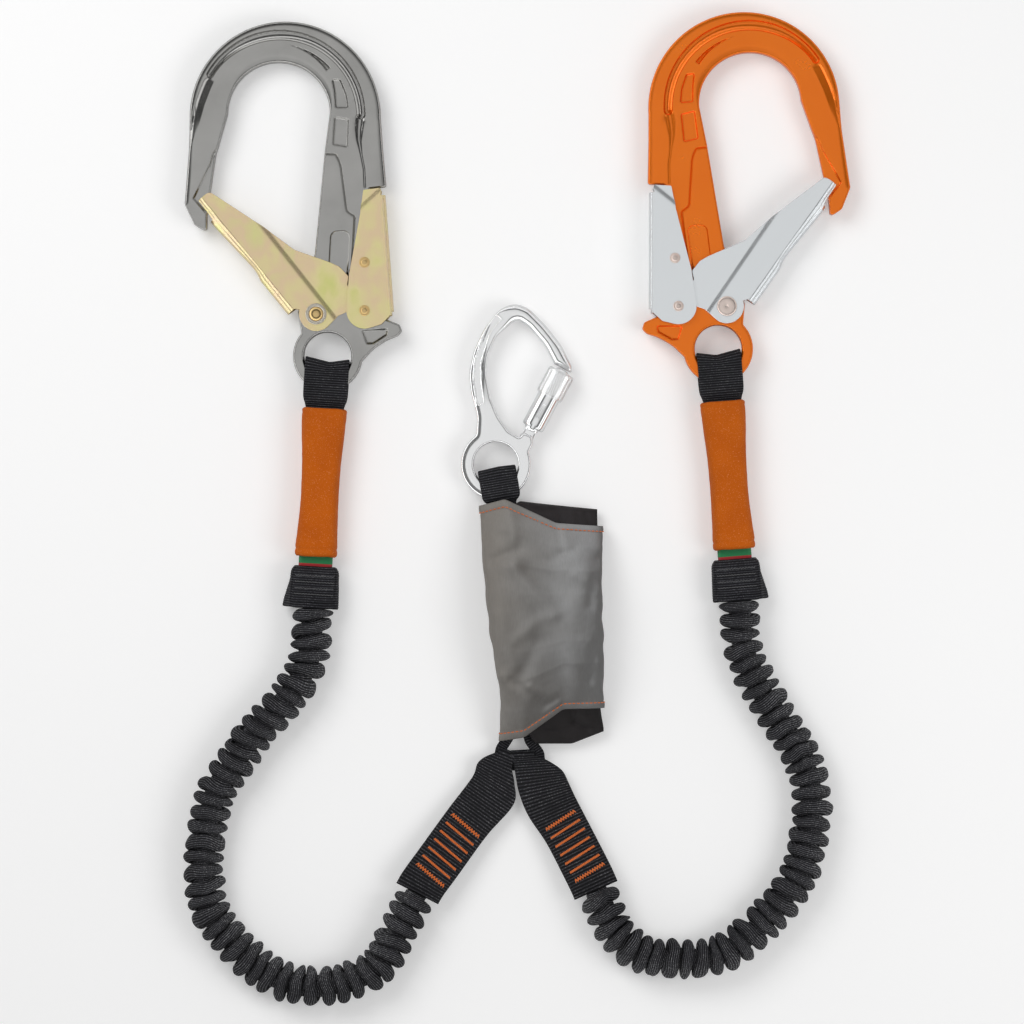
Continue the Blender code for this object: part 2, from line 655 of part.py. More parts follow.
def build_leg_head(prefix, side, eye, turn):
    frame = empty(prefix + "_leg_frame", eye + Vector((0, 0, hook_height)), turn)
    neck = (grip_start - 0.5 * mm, 4.4 * mm, loop_width / 2 - 1.8 * mm)
    loop = eye_loop(prefix + "_hook_loop", loop_level, loop_width / 2, loop_sewn_width / 2, neck,
                    grip_start + 15 * mm, cuff_end - 4 * mm, eye_radius + eye_ring_width + 0.8 * mm, 3.0 * mm)
    place(loop, frame, black_webbing, side)
    rings = []
    for share, width, height in ((0.0, 0.98, 0.94), (0.03, 1.0, 1.0), (0.3, 0.90, 0.98),
                                 (0.55, grip_waist / grip_width, 0.96), (0.8, 0.88, 0.98),
                                 (0.97, 0.95, 1.0), (1.0, 0.915, 0.92)):
        rings.append((Vector((0.0, -grip_start - grip_length * share, 0.0)),
                      grip_width / 2 * width, grip_height / 2 * height))
    place(sock(prefix + "_grip", rings, grip_wall), frame, orange_grip, side)
    label_at = grip_start + grip_length - 1.5 * mm
    rings = [(Vector((0.0, -label_at - label_length * share, 0.0)), label_width / 2, label_height / 2)
             for share in (0.0, 1.0)]
    place(sock(prefix + "_label_band", rings, label_wall, 16), frame, green_label, side)
    mouth = (label_width / 2 + gap + cuff_wall, label_height / 2 + gap + cuff_wall)
    rings = [(Vector((0.0, -cuff_start, 0.0)), *mouth),
             (Vector((0.0, -cuff_start - cuff_length * 0.14, 0.0)), cuff_width * 0.47, cuff_height * 0.48),
             (Vector((0.0, -cuff_end, 0.0)), cuff_width / 2, cuff_height / 2)]
    place(sock(prefix + "_cuff", rings, cuff_wall, 16), frame, black_webbing, side)
    along = Matrix.Rotation(turn, 3, "Z") @ Vector((0.0, -1.0, 0.0))
    return eye + along * (cuff_end + gap), along


# Legs: gathered tubular webbing over an elastic core

def build_leg(prefix, start, start_along, end, end_along, middle):
    straight = 2 * leg_rib_radius
    lift = Vector((0.0, 0.0, leg_height))
    stations = [start, start + start_along * straight / 2, start + start_along * straight]
    stations += [Vector((x * mm, y * mm, 0.0)) for x, y in middle]
    stations += [end + end_along * straight, end + end_along * straight / 2, end]
    stations = [point + lift for point in stations]
    length = sum((b - a).length for a, b in zip(stations, stations[1:]))
    ribs = round(length / leg_pitch)
    route = smooth_route(stations, 2 * ribs)
    radii = [leg_rib_radius if k % 2 else leg_valley_radius for k in range(len(route))]
    sleeve = tube(prefix + "_leg", route, leg_rib_radius, 2, radii)
    centre_line = smooth_route(stations, 44)
    ends = (centre_line[0] - start_along * 2 * mm, centre_line[-1] - end_along * 2 * mm)
    bore = tube("bore", [ends[0], *centre_line[1:-1], ends[1]], leg_bore_radius, 1)
    sleeve = combine(sleeve, bore)
    place(sleeve, None, black_webbing)
    core = tube(prefix + "_leg_core", centre_line, core_radius, 1)
    place(core, None, elastic_rubber)
    least = min((a - b).length for i, a in enumerate(route) for b in route[i + 12:]) - 2 * leg_rib_radius
    print(f"{prefix} leg: {length / mm:.0f} mm, {ribs} ribs, least gap to itself {least / mm:.1f} mm")


# Straps below the legs: doubled webbing with an open fold at the top

def build_strap(prefix, side, line):
    """line runs in plan from the fold to the leg as (x, y, level, half width, bearing)."""
    fold_open = lower_loop_thickness / 2 + 0.6 * mm + webbing_thickness / 2
    lower, upper = [], []
    for k, (x, y, level, half, bearing) in enumerate(line):
        turn = Matrix.Rotation(-side * math.radians(bearing), 3, "Z")
        centre = Vector((x * mm, y * mm, level * mm))
        across = turn @ Vector((half * mm, 0.0, 0.0))
        apart = Vector((0.0, 0.0, fold_open if k < 3 else sewn_level))
        lower.append((centre - apart, across))
        upper.append((centre + apart, across))
    top = (lower[0][0] + upper[0][0]) / 2
    across = lower[0][1]
    bend = [(top + Vector((0.0, dy, -dz)), across) for dy, dz in arc((0, 0), fold_open, 45, -45, 2)]
    rows = lower[::-1] + bend + upper
    place(band(prefix + "_strap", rows, webbing_thickness), None, black_webbing)
    foot = Vector((line[-1][0] * mm, line[-1][1] * mm, 0.0))
    along = turn @ Vector((0.0, -1.0, 0.0))
    return foot + along * gap, along


# Carabiner

carabiner_gate_pivot = Vector((19.0, 15.9, 0.0)) * mm
carabiner_gate_axis = Vector((22.6, 42.5, 0.0)).normalized()
nose_face = carabiner_gate_pivot + carabiner_gate_axis * (gate_rod_length + nose_gap)


def from_nose(corners):
    """Corners in millimetres from the middle of the nose's end face, which goes with the gate's length."""
    return [(nose_face.x + corner[0] * mm, nose_face.y + corner[1] * mm, *[r * mm for r in corner[2:]])
            for corner in corners]


def carabiner_outline():
    """Eye side round the spine to the nose and back inside to the gate's ear."""
    spine = in_mm([(-17.0, 8.0), (-12.2, 19.0, 6.0), (-11.6, 30.0, 20.0), (-15.4, 43.7, 30.0),
                   (-16.9, 56.0, 30.0)])
    crown = from_nose([(-55.9, 10.9, 30.0), (-49.3, 24.9, 20.0), (-40.5, 36.3, 14.0), (-31.1, 41.3, 12.0),
                       (-21.3, 37.7, 14.0), (-10.7, 26.9, 30.0), (-1.1, 14.5, 30.0), (5.5, 1.5, 3.0),
                       (5.1, -2.7, 0.8), (-5.7, 3.0, 0.8), (-11.9, 14.7, 20.0), (-21.7, 26.1, 10.0),
                       (-28.7, 30.9, 4.0), (-41.3, 20.7, 12.0)])
    inside = in_mm([(-5.2, 67.1, 20.0), (-6.0, 56.0, 20.0), (-3.6, 42.0, 20.0), (1.4, 29.6, 20.0),
                    (10.4, 16.8, 4.0), (14.0, 16.4, 1.0), (17.4, 19.6, 2.0), (22.4, 17.6, 2.0),
                    (23.2, 12.6, 2.0), (19.4, 5.2, 3.0)])
    return rounded(spine + crown + inside, 2)


def panel_outline():
    """Long shallow recess that follows the spine."""
    low = in_mm([(-9.2, 51.0, 20.0), (-7.4, 38.2, 0.8), (-11.2, 36.0, 0.8), (-13.7, 51.8, 20.0),
                 (-12.9, 63.6, 20.0)])
    high = from_nose([(-48.0, 25.2, 20.0), (-41.6, 33.6, 0.8), (-38.4, 31.0, 0.8), (-45.6, 22.8, 20.0)])
    return rounded(low + high + in_mm([(-9.6, 62.4, 20.0)]), 2)


def build_carabiner():
    frame = empty("carabiner_frame", carabiner_eye + Vector((0, 0, carabiner_height)))
    axis = carabiner_gate_axis
    side = axis.cross(Vector((0.0, 0.0, 1.0)))
    along_gate = Matrix((side, -Vector((0.0, 0.0, 1.0)), axis)).transposed().to_4x4()
    along_gate.translation = carabiner_gate_pivot
    body = plate("carabiner_body", carabiner_outline(), carabiner_half, carabiner_edge)
    bore = peg("eye_bore", (0, 0, 0), carabiner_eye_radius + carabiner_ring_width / 2, 2 * carabiner_half, 28)
    body = combine(body, bore)
    eye = ring("eye_ring", carabiner_eye_radius, carabiner_eye_radius + carabiner_ring_width,
               carabiner_half, 1.6 * mm, 28)
    body = combine(body, eye, "UNION")
    for face in (-1, 1):
        body = combine(body, plate("panel", panel_outline(), panel_depth, 0.0, face * carabiner_half))
    body = combine(body, peg("gate_fork", carabiner_gate_pivot, 7.0 * mm, fork_half + gap, 20))
    body = combine(body, peg("hinge_bore", carabiner_gate_pivot, hinge_pin_radius + gap, 2 * carabiner_half))
    place(plain(body), frame, polished_aluminium)

    rod_start = 5.6 * mm
    gate = turned("carabiner_gate", [(0.0, gate_rod_length), (gate_rod_radius - 1.0 * mm, gate_rod_length),
                                     (gate_rod_radius, gate_rod_length - 1.0 * mm),
                                     (gate_rod_radius, rod_start), (0.0, rod_start)], 18)
    cheek = plate("cheek", arc((0.0, 0.0), 4.4 * mm, 180, 360, 8)
                  + [(4.2 * mm, rod_start + 1.5 * mm), (-4.2 * mm, rod_start + 1.5 * mm)], fork_half)
    cheek.data.transform(Matrix.Rotation(math.radians(90), 4, "X"))
    gate = combine(gate, cheek, "UNION")
    gate.matrix_basis = along_gate
    gate = combine(gate, peg("spring_room", carabiner_gate_pivot, 5.2 * mm, 1.5 * mm, 20))
    gate = combine(gate, peg("pin_hole", carabiner_gate_pivot, hinge_pin_radius + gap, 2 * fork_half))
    place(gate, frame, polished_aluminium, 1, carabiner_gate_pivot)

    pin = turned("carabiner_gate_pin", [(0.0, carabiner_half), (hinge_pin_radius, carabiner_half),
                                        (hinge_pin_radius, -carabiner_half), (0.0, -carabiner_half)], 14)
    pin.location = carabiner_gate_pivot
    bpy.context.view_layer.update()
    place(pin, frame, spring_steel, 1, carabiner_gate_pivot)
    spring = coil("carabiner_gate_spring", carabiner_gate_pivot, 2.9 * mm, -0.9 * mm, 0.9 * mm, 1.8, 0.9 * mm)
    place(spring, frame, spring_steel, 1, carabiner_gate_pivot)

    sleeve_end = lock_ring_start + lock_ring_length - 0.5 * mm
    sleeve = turned("carabiner_sleeve", [
        (sleeve_bore_radius, sleeve_end), (sleeve_radius, sleeve_end),
        (sleeve_radius, sleeve_start + 0.8 * mm),
        (sleeve_radius - 0.8 * mm, sleeve_start), (sleeve_bore_radius, sleeve_start),
        (sleeve_bore_radius, sleeve_end)], 24)
    slot = plate("slot", rounded(in_mm([(-1.4, 14.0, 1.3), (1.4, 14.0, 1.3), (1.4, 24.0, 1.3),
                                        (-1.4, 24.0, 1.3)])), 2 * mm, 0.0, sleeve_radius)
    slot.matrix_basis = Matrix.Rotation(math.radians(90), 4, "X") @ slot.matrix_basis
    sleeve = combine(sleeve, slot)
    notch = peg("notch", (0.0, -sleeve_radius, sleeve_start), 2.4 * mm, 2.2 * mm)
    sleeve = combine(sleeve, notch)
    sleeve.matrix_basis = along_gate
    place(sleeve, frame, polished_aluminium, 1, carabiner_gate_pivot)

    teeth = 16
    knurl = []
    for k in range(teeth):
        for part, radius in ((0.0, lock_ring_radius - 0.5 * mm), (0.25, lock_ring_radius),
                             (0.65, lock_ring_radius)):
            a = 2 * math.pi * (k + part) / teeth
            knurl.append((radius * math.cos(a), radius * math.sin(a)))
    lock_ring = plate("carabiner_lock_ring", knurl, lock_ring_length / 2)
    lock_ring.location.z = lock_ring_start + lock_ring_length / 2
    bpy.context.view_layer.update()
    ring_bore = peg("ring_bore", (0.0, 0.0, lock_ring_start), sleeve_radius + gap, 2 * lock_ring_length, 24)
    lock_ring = combine(lock_ring, ring_bore)
    lock_ring.matrix_basis = along_gate @ lock_ring.matrix_basis
    place(lock_ring, frame, polished_aluminium, 1, carabiner_gate_pivot)


# Absorber: cover and bag are socks whose ends follow the cut of the cloth

def along_edge(edge, x):
    """Second coordinate of an edge, given as corners in rising order of the first, at x."""
    x = min(max(x, edge[0][0]), edge[-1][0])
    for (x0, y0), (x1, y1) in zip(edge, edge[1:]):
        if x <= x1:
            return y0 + (y1 - y0) * (x - x0) / (x1 - x0)
    return edge[-1][1]


def crown_at(x, y):
    """Half height of the absorber above a point of its plan, falling off to both cloth ends."""
    low, high = along_edge(cover_bottom, x), along_edge(cover_top, x)
    share = (y - low) / (high - low) * (len(cover_crown) - 1)
    k = min(max(int(share), 0), len(cover_crown) - 2)
    blend = cover_crown[k] * (k + 1 - share) + cover_crown[k + 1] * (share - k)
    return blend * cover_height / 2


def cloth_sock(name, left, right, bottom, top, rows, wall, inset, around):
    """left and right edges as (y, x), bottom and top as (x, y); inset draws the cloth inwards."""
    power = 3.5
    sections = []
    for k in range(rows + 1):
        share = 1.0 - k / rows
        middle_x = (left[0][1] + right[-1][1]) / 2
        section = []
        for n in range(around):
            a = 2 * math.pi * (n + 0.5) / around
            c, s = math.cos(a), math.sin(a)
            u = math.copysign(abs(c) ** (2 / power), c) / 2 + 0.5
            y = along_edge(bottom, middle_x) * (1 - share) + along_edge(top, middle_x) * share
            for _ in range(3):
                low_x = along_edge(left, y) + inset
                high_x = along_edge(right, y) - inset
                x = low_x + (high_x - low_x) * u
                y = along_edge(bottom, x) * (1 - share) + along_edge(top, x) * share
            crown = crown_at(x, y)
            z = crown + (crown - inset) * math.copysign(abs(s) ** (2 / power), s)
            section.append(Vector((x, y, z)))
        sections.append(section)
    return thicken(loft(name, sections, True), wall, -1.0)


cover_crown = (0.55, 0.76, 0.94, 1.0, 1.0, 1.0, 0.94, 0.76, 0.50)     # from the bottom edge to the top
cover_left = in_mm([(-173.6, -10.8), (-145.7, -9.2), (-122.5, -14.2), (-73.8, -19.8), (-27.0, -22.8)])
cover_right = in_mm([(-153.0, 53.9), (-100.0, 53.2), (-40.0, 52.2)])
cover_bottom = in_mm([(-10.8, -173.6), (4.6, -171.1), (28.8, -153.5), (53.9, -153.0)])
cover_top = in_mm([(-22.8, -27.8), (-7.1, -23.6), (24.5, -38.4), (52.2, -40.3)])
bag_bottom = in_mm([(-7.0, -152.0), (6.0, -166.0), (11.5, -175.5), (34.4, -175.7), (56.0, -167.0)])
bag_top = in_mm([(-18.0, -33.0), (-3.0, -30.0), (1.3, -24.8), (51.0, -30.0)])
bag_right = in_mm([(-170.0, 57.2), (-153.5, 53.9), (-100.0, 53.2), (-28.0, 52.2)])


def build_absorber():
    cover = cloth_sock("absorber_cover", cover_left, cover_right, cover_bottom, cover_top, 8,
                       cover_wall, 0.0, 28)
    place(cover, None, grey_cloth)
    bag = cloth_sock("absorber_bag", cover_left, bag_right, bag_bottom, bag_top, 8,
                     bag_wall, cover_wall + bag_clearance, 28)
    place(bag, None, black_cloth)

    frame = empty("top_loop_frame", carabiner_eye + Vector((0, 0, carabiner_height)), top_loop_turn)
    ring_outer = carabiner_eye_radius + carabiner_ring_width
    neck = (ring_outer + 2.4 * mm, 2.8 * mm, top_loop_sewn_width / 2)
    loop = eye_loop("absorber_top_loop", top_loop_level, top_loop_width / 2, top_loop_sewn_width / 2, neck,
                    ring_outer + 9.0 * mm, 52.0 * mm, ring_outer - 1.2 * mm, 3.0 * mm)
    place(loop, frame, black_webbing)

    middle = Vector((18.0, -97.0, 0.0)) * mm
    across = Vector((tear_webbing_width / 2, 0.0, 0.0))
    reach = (tear_webbing_length - tear_webbing_pitch) / 2
    rows = []
    for layer in range(tear_webbing_layers):
        z = tear_webbing_bottom + webbing_thickness / 2 + layer * tear_webbing_pitch
        way = 1 if layer % 2 else -1
        rows.append((middle + Vector((0.0, -way * reach, z)), across))
        rows.append((middle + Vector((0.0, way * reach, z)), across))
        if layer < tear_webbing_layers - 1:
            for dy, dz in arc((0.0, 0.0), tear_webbing_pitch / 2, -45, 45, 2):
                corner = Vector((0.0, way * (reach + dy), z + tear_webbing_pitch / 2 + dz))
                rows.append((middle + corner, across))
    place(band("absorber_webbing", rows, webbing_thickness), None, black_webbing)

    half = lower_loop_width / 2
    left_run = in_mm([(1.0, -141.0), (1.0, -158.0), (-2.2, -172.2), (-12.0, -180.2), (-12.0, -188.8)])
    right_run = in_mm([(13.6, -188.8), (13.6, -180.0), (8.2, -172.8), (8.2, -141.0)])
    run = left_run + right_run
    outer, inner = [], []
    for k, point in enumerate(run):
        here = Vector(point)
        back = (here - Vector(run[k - 1])).normalized() if k else Vector((0.0, -1.0))
        ahead = (Vector(run[k + 1]) - here).normalized() if k < len(run) - 1 else Vector((0.0, 1.0))
        normal = (back + ahead).normalized()
        normal = Vector((normal.y, -normal.x)) * half / max(math.cos(back.angle(ahead) / 2), 0.3)
        outer.append((*(here + normal), 2.0 * mm if k in (4, 5) else 0.0))
        inner.append((*(here - normal), 0.0))
    outline = rounded(outer + inner[::-1])
    place(plate("absorber_lower_loop", outline, lower_loop_thickness / 2, 0.0, lower_loop_level), None,
          black_webbing)


lanyard = empty("lanyard_frame", centring)
build_hook("left", 1, grey_steel, yellow_zinc, left_eye + Vector((0, 0, hook_height)), 0.0)
build_hook("right", -1, orange_anodised, bright_zinc, right_eye + Vector((0, 0, hook_height)),
           right_hook_turn)
build_carabiner()
build_absorber()
left_top = build_leg_head("left", 1, left_eye, left_leg_turn)
right_top = build_leg_head("right", -1, right_eye, right_leg_turn)
level = lower_loop_level / mm
fold = strap_fold_width / mm / 2
half = strap_width / mm / 2
high = leg_height / mm
left_foot = build_strap("left", 1, [
    (-3.8, -184.9, level, fold, 6), (-11.0, -188.2, level, fold * 2.1, 18),
    (-12.8, -194.2, level, half * 0.9, 28),
    (-14.8, -205.0, level, half * 1.06, 33), (-30.4, -224.2, 9.0, half, 36), (-48.2, -248.6, 12.0, half, 35),
    (-57.6, -261.4, high, half, 31), (-61.5, -268.0, high, half, 27)])
right_foot = build_strap("right", -1, [
    (5.2, -183.4, level, fold, 0), (9.8, -187.0, level, fold * 2.4, 0), (13.8, -193.4, level, half, 2),
    (17.0, -203.0, level, half * 1.08, 13), (21.9, -214.4, level, half * 1.08, 22),
    (31.8, -231.0, 9.0, half, 26),
    (42.2, -251.0, 12.0, half, 26), (46.6, -259.8, high, half, 25), (49.3, -266.0, high, half, 24)])
build_leg("left", *left_top, *left_foot,
          [(-132, -131), (-144, -149), (-161, -168), (-173, -185), (-185, -202), (-191, -223), (-193.5, -242),
           (-193.5, -260), (-189, -281), (-175, -299), (-158, -315.5), (-138, -324), (-117, -325),
           (-101, -321.5), (-85, -312)])
build_leg("right", *right_top, *right_foot,
          [(148.5, -136.5), (159, -154), (169, -170), (178, -186.5), (182, -203), (183, -220), (180, -238.5),
           (175, -256), (164, -273), (146, -292), (130, -304), (116, -308), (101, -308.5), (86, -307.5),
           (72, -302)])
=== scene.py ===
import math
import bpy
import numpy as np
from mathutils import Matrix, Vector, noise
from mathutils.geometry import delaunay_2d_cdt


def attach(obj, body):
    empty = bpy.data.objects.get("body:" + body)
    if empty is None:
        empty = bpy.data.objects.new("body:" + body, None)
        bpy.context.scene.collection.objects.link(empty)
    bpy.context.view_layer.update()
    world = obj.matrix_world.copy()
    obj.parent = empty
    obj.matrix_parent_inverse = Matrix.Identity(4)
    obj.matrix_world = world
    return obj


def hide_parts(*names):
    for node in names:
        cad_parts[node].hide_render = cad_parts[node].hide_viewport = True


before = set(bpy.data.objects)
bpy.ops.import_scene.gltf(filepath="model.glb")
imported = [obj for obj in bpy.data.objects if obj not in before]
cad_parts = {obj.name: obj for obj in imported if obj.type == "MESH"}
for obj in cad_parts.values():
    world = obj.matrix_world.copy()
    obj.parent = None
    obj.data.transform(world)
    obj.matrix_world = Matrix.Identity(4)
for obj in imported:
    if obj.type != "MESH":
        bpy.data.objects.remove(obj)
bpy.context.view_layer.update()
mm = 0.001
up = Vector((0.0, 0.0, 1.0))
shift = (-0.585, -1.83)   # the part's own shift to its middle, in millimetres
centring = Vector((*shift, 0.0)) * mm
print("frame loaded")

studio = {"cameraHeight": 3.0, "across": 0.63488, "middle": (-0.003375, -0.03345), "level": 0.012, "sensor": 36,
          "floor": (0.86, 0.86, 0.86), "floorShine": 0.24, "reflected": 0.9, "plain": 0.36,
          "panels": {"keyPanel": ((-0.75, 0.70, 1.30), 0.9, 10.5), "rimPanel": ((0.90, -0.30, 1.10), 0.7, 5.0)},
          "sky": ((0.0, 0.05), (0.10, 0.08), (0.18, 2.30), (0.33, 2.40), (0.40, 0.30), (0.45, 0.08), (0.49, 0.30),
                  (0.53, 2.70), (0.62, 2.60), (0.67, 0.12), (0.85, 0.10), (0.89, 0.70), (0.93, 0.92), (1.0, 1.0))}

bpy.ops.object.camera_add(location=(*studio["middle"], studio["level"] + studio["cameraHeight"]), rotation=(0, 0, 0))
camera = bpy.context.object
camera.data.sensor_width = studio["sensor"]
camera.data.lens = studio["sensor"] * studio["cameraHeight"] / studio["across"]
camera.data.clip_end = 20
bpy.context.scene.camera = camera
bpy.context.scene.view_settings.view_transform = "Standard"


class Wire:   # a socket that can stand in a sum
    def __init__(self, recipe, socket):
        self.recipe = recipe
        self.socket = socket

    def maths(self, operation, *values):
        return self.recipe.node("ShaderNodeMath", {"operation": operation}, values)

    def __add__(self, other):
        return self.maths("ADD", self, other)

    def __sub__(self, other):
        return self.maths("SUBTRACT", self, other)

    def __rsub__(self, other):
        return self.maths("SUBTRACT", other, self)

    def __mul__(self, other):
        return self.maths("MULTIPLY", self, other)

    def __pow__(self, other):
        return self.maths("POWER", self, other)

    __radd__ = __add__
    __rmul__ = __mul__

    def over(self, level):
        return self.maths("GREATER_THAN", self, level)

    def sine(self):
        return self.maths("SINE", self)

    def wave(self):   # a sine drawn between 0 and 1
        return self.sine() * 0.5 + 0.5

    def clamped(self):
        return self.recipe.node("ShaderNodeClamp", {}, [self])

    def ramp(self, *stops):
        return self.recipe.node("ShaderNodeValToRGB", {"stops": stops}, [self])


class Recipe:   # one material or the world, written node by node
    def __init__(self, tree):
        self.tree = tree

    def node(self, kind, settings=None, values=(), out=0):
        made = self.tree.nodes.new(kind)
        for key, setting in (settings or {}).items():
            if key == "stops":
                elements = made.color_ramp.elements
                while len(elements) < len(setting):
                    elements.new(0.5)
                for element, (place, colour) in zip(elements, setting):
                    element.position = place
                    element.color = (*colour, 1.0)
            else:
                setattr(made, key, setting)
        for key, value in values.items() if isinstance(values, dict) else enumerate(values):
            self.feed(made.inputs[key], value)
        return Wire(self, made.outputs[out])

    def feed(self, socket, value):
        if isinstance(value, Wire):
            self.tree.links.new(value.socket, socket)
        else:
            socket.default_value = value

    def mix(self, share, first, second, blend="MIX"):   # colours are wires or three numbers
        first, second = (c if isinstance(c, Wire) else (*c, 1.0) for c in (first, second))
        settings = {"data_type": "RGBA", "blend_type": blend}
        return self.node("ShaderNodeMix", settings, {0: share, 6: first, 7: second}, 2)

    def grain(self, place, scale, detail=3.0, rough=0.5):
        values = {"Vector": place, "Scale": scale, "Detail": detail, "Roughness": rough}
        return self.node("ShaderNodeTexNoise", {}, values)

    def stretch(self, place, scale, turn=0.0):
        return self.node("ShaderNodeMapping", {}, {"Vector": place, "Scale": scale, "Rotation": (0.0, 0.0, turn)})

    def split(self, place):
        made = self.node("ShaderNodeSeparateXYZ", {}, [place])
        return [Wire(self, made.socket.node.outputs[k]) for k in range(3)]

    def rayIs(self, kind):
        return Wire(self, self.tree.nodes.new("ShaderNodeLightPath").outputs["Is " + kind + " Ray"])


class Finish(Recipe):   # a Principled material, with its object place and its own map ready to use
    def __init__(self, name, colour, roughness, metallic=0.0, **constants):
        self.made = bpy.data.materials.new(name)
        self.made.use_nodes = True
        super().__init__(self.made.node_tree)
        self.shader = self.tree.nodes["Principled BSDF"]
        constants.update({"Base Color": (*colour, 1.0), "Roughness": roughness, "Metallic": metallic})
        for key, value in constants.items():
            self.shader.inputs[key].default_value = value
        self.place = self.node("ShaderNodeTexCoord", out=3)
        self.grid = self.node("ShaderNodeUVMap")

    def done(self, colour, height, distance, strength, roughness=None):   # height lifts the surface by a bump
        self.feed(self.shader.inputs["Base Color"], colour)
        if roughness is not None:
            self.feed(self.shader.inputs["Roughness"], roughness)
        bump = self.node("ShaderNodeBump", {}, {"Height": height, "Distance": distance * mm, "Strength": strength})
        self.feed(self.shader.inputs["Normal"], bump)
        return self.made


clear = (1.0, 1.0, 1.0, 1.0)
# the floor is pale and keeps the shadow; a share of it shines for the camera only
bpy.ops.mesh.primitive_plane_add(size=12.0, location=(0, 0, -0.0002))
floor = bpy.context.object
floor.name = "floor"
paper = Finish("floorPaper", studio["floor"], 0.9)
seen = paper.rayIs("Camera") * studio["floorShine"]
shine = paper.node("ShaderNodeEmission", {}, {"Color": clear, "Strength": seen})
both = paper.node("ShaderNodeAddShader", {}, [Wire(paper, paper.shader.outputs[0]), shine])
paper.feed(paper.tree.nodes["Material Output"].inputs["Surface"], both)
floor.data.materials.append(paper.made)

# the room: metal sees bright panels with dark gaps, cloth gets plain light, the camera sees white
room = bpy.data.worlds.new("room")
bpy.context.scene.world = room
room.use_nodes = True
recipe = Recipe(room.node_tree)
along, across, height = recipe.split(recipe.node("ShaderNodeTexCoord", out=0))
level = height.ramp(*((place, (tone,) * 3) for place, tone in studio["sky"]))
side = across * -0.22 - along * 0.25 + 0.85   # brighter to the upper left
tone = recipe.node("ShaderNodeVectorMath", {"operation": "SCALE"}, {0: level, "Scale": side})
sky, plain, white = (recipe.node("ShaderNodeBackground", {}, {"Color": colour, "Strength": strength})
                     for colour, strength in ((tone, studio["reflected"]), (clear, studio["plain"]), (clear, 1.0)))
around = recipe.node("ShaderNodeMixShader", {}, [recipe.rayIs("Glossy"), plain, sky])
recipe.feed(room.node_tree.nodes["World Output"].inputs["Surface"],
            recipe.node("ShaderNodeMixShader", {}, [recipe.rayIs("Camera"), around, white]))

for name, (spot, size, power) in studio["panels"].items():
    bpy.ops.object.light_add(type="AREA", location=spot)
    lamp = bpy.context.object
    lamp.name = name
    lamp.data.size = size
    lamp.data.energy = power
    lamp.visible_glossy = False
    lamp.rotation_euler = (-Vector(spot)).to_track_quat("-Z", "Y").to_euler()
print("studio ready")


def scaled(colour, factor):
    return tuple(min(1.0, c * factor) for c in colour)


def ribbed(name, colour, ribPitch, threadPitch, lift, roughness=0.6, flecks=0.35, paleSide=None):
    # woven strap: ribs across its length, fine threads along it; the piece's map runs in metres. The rib crests are
    # painted lighter as a painted highlight, and the pale flecks on them are painted glints
    f = Finish(name, colour, roughness, **{"Specular IOR Level": 0.22})
    u, v, w = f.split(f.grid)
    ribs = (u * (2 * math.pi / (ribPitch * mm)) - math.pi / 2).wave()
    threads = (v * (2 * math.pi / (threadPitch * mm)) + (u * (math.pi / (ribPitch * mm))).sine() * 1.2).wave()
    worn, fleck = f.grain(f.place, 90.0, 4.0), f.grain(f.place, 1500.0, 2.0)
    crest = ribs ** 3.0
    # painted highlight: the rib crests lighter, broken by the threads
    bright = crest * (threads * 0.7 + 0.3) * (worn * 1.3 + 0.2)
    # painted glints: pale flecks on the lit crests
    lit = fleck.over(0.60) * crest * flecks * worn * 2.0
    if paleSide is not None:   # one side of the tube is paler, with pale broken flecks on its ribs
        lit = lit + fleck.over(0.53) * (v * (1 / (paleSide * mm)) - math.pi / 2).wave() ** 3.0 * (ribs * 0.6 + 0.2)
    tint = f.mix(lit, f.mix(bright, colour, scaled(colour, lift)), (0.30, 0.30, 0.31))
    return f.done(tint, ribs * 0.7 + threads * 0.25 + fleck * 0.3, 0.3, 0.9, 0.75 - bright * 0.25)


black = (0.0065, 0.0065, 0.0075)
blackWebbing = ribbed("blackWebbing", black, 1.48, 0.7, 11.0)
strapWebbing = ribbed("strapWebbing", black, 1.95, 0.75, 9.0, flecks=0.5)
gatheredWebbing = ribbed("gatheredWebbing", (0.0042, 0.0042, 0.0048), 1.72, 0.8, 30.0, 0.5, 0.8, 13.3)
cuffWebbing = ribbed("cuffWebbing", (0.0085, 0.0085, 0.0100), 1.5, 0.75, 9.0)


def metal(name, colour, roughness, spread, metallic=1.0, marked=1.0):
    # ground and polished metal with a faint brushed grain and small marks
    f = Finish(name, colour, roughness, metallic)
    cloudy, fine, marks = f.grain(f.place, 45.0, 4.0), f.grain(f.place, 420.0), f.grain(f.place, 1500.0, 4.0, 0.6)
    tint = f.mix(cloudy, scaled(colour, 1 - spread * 2), scaled(colour, 1 + spread * 2))
    rough = cloudy * 0.08 + fine * (0.05 * marked) + marks.over(0.70) * (0.05 * marked) + (roughness - 0.06)
    return f.done(tint, fine * 0.4 + marks * 0.4, 0.012, 0.2 * marked, rough)


greySteel = metal("greySteel", (0.41, 0.406, 0.393), 0.16, 0.09)
brightZinc = metal("brightZinc", (0.83, 0.86, 0.88), 0.22, 0.012, metallic=0.8, marked=0.25)
aluminium = metal("polishedAluminium", (0.95, 0.955, 0.96), 0.12, 0.012, metallic=0.88)
brass = metal("brassRivet", (0.72, 0.52, 0.24), 0.20, 0.08)
roseZinc = metal("roseZinc", (0.80, 0.68, 0.62), 0.24, 0.08)
washerSteel = metal("washerSteel", (0.62, 0.58, 0.50), 0.20, 0.05)
springWire = metal("springSteel", (0.32, 0.31, 0.30), 0.3, 0.05)

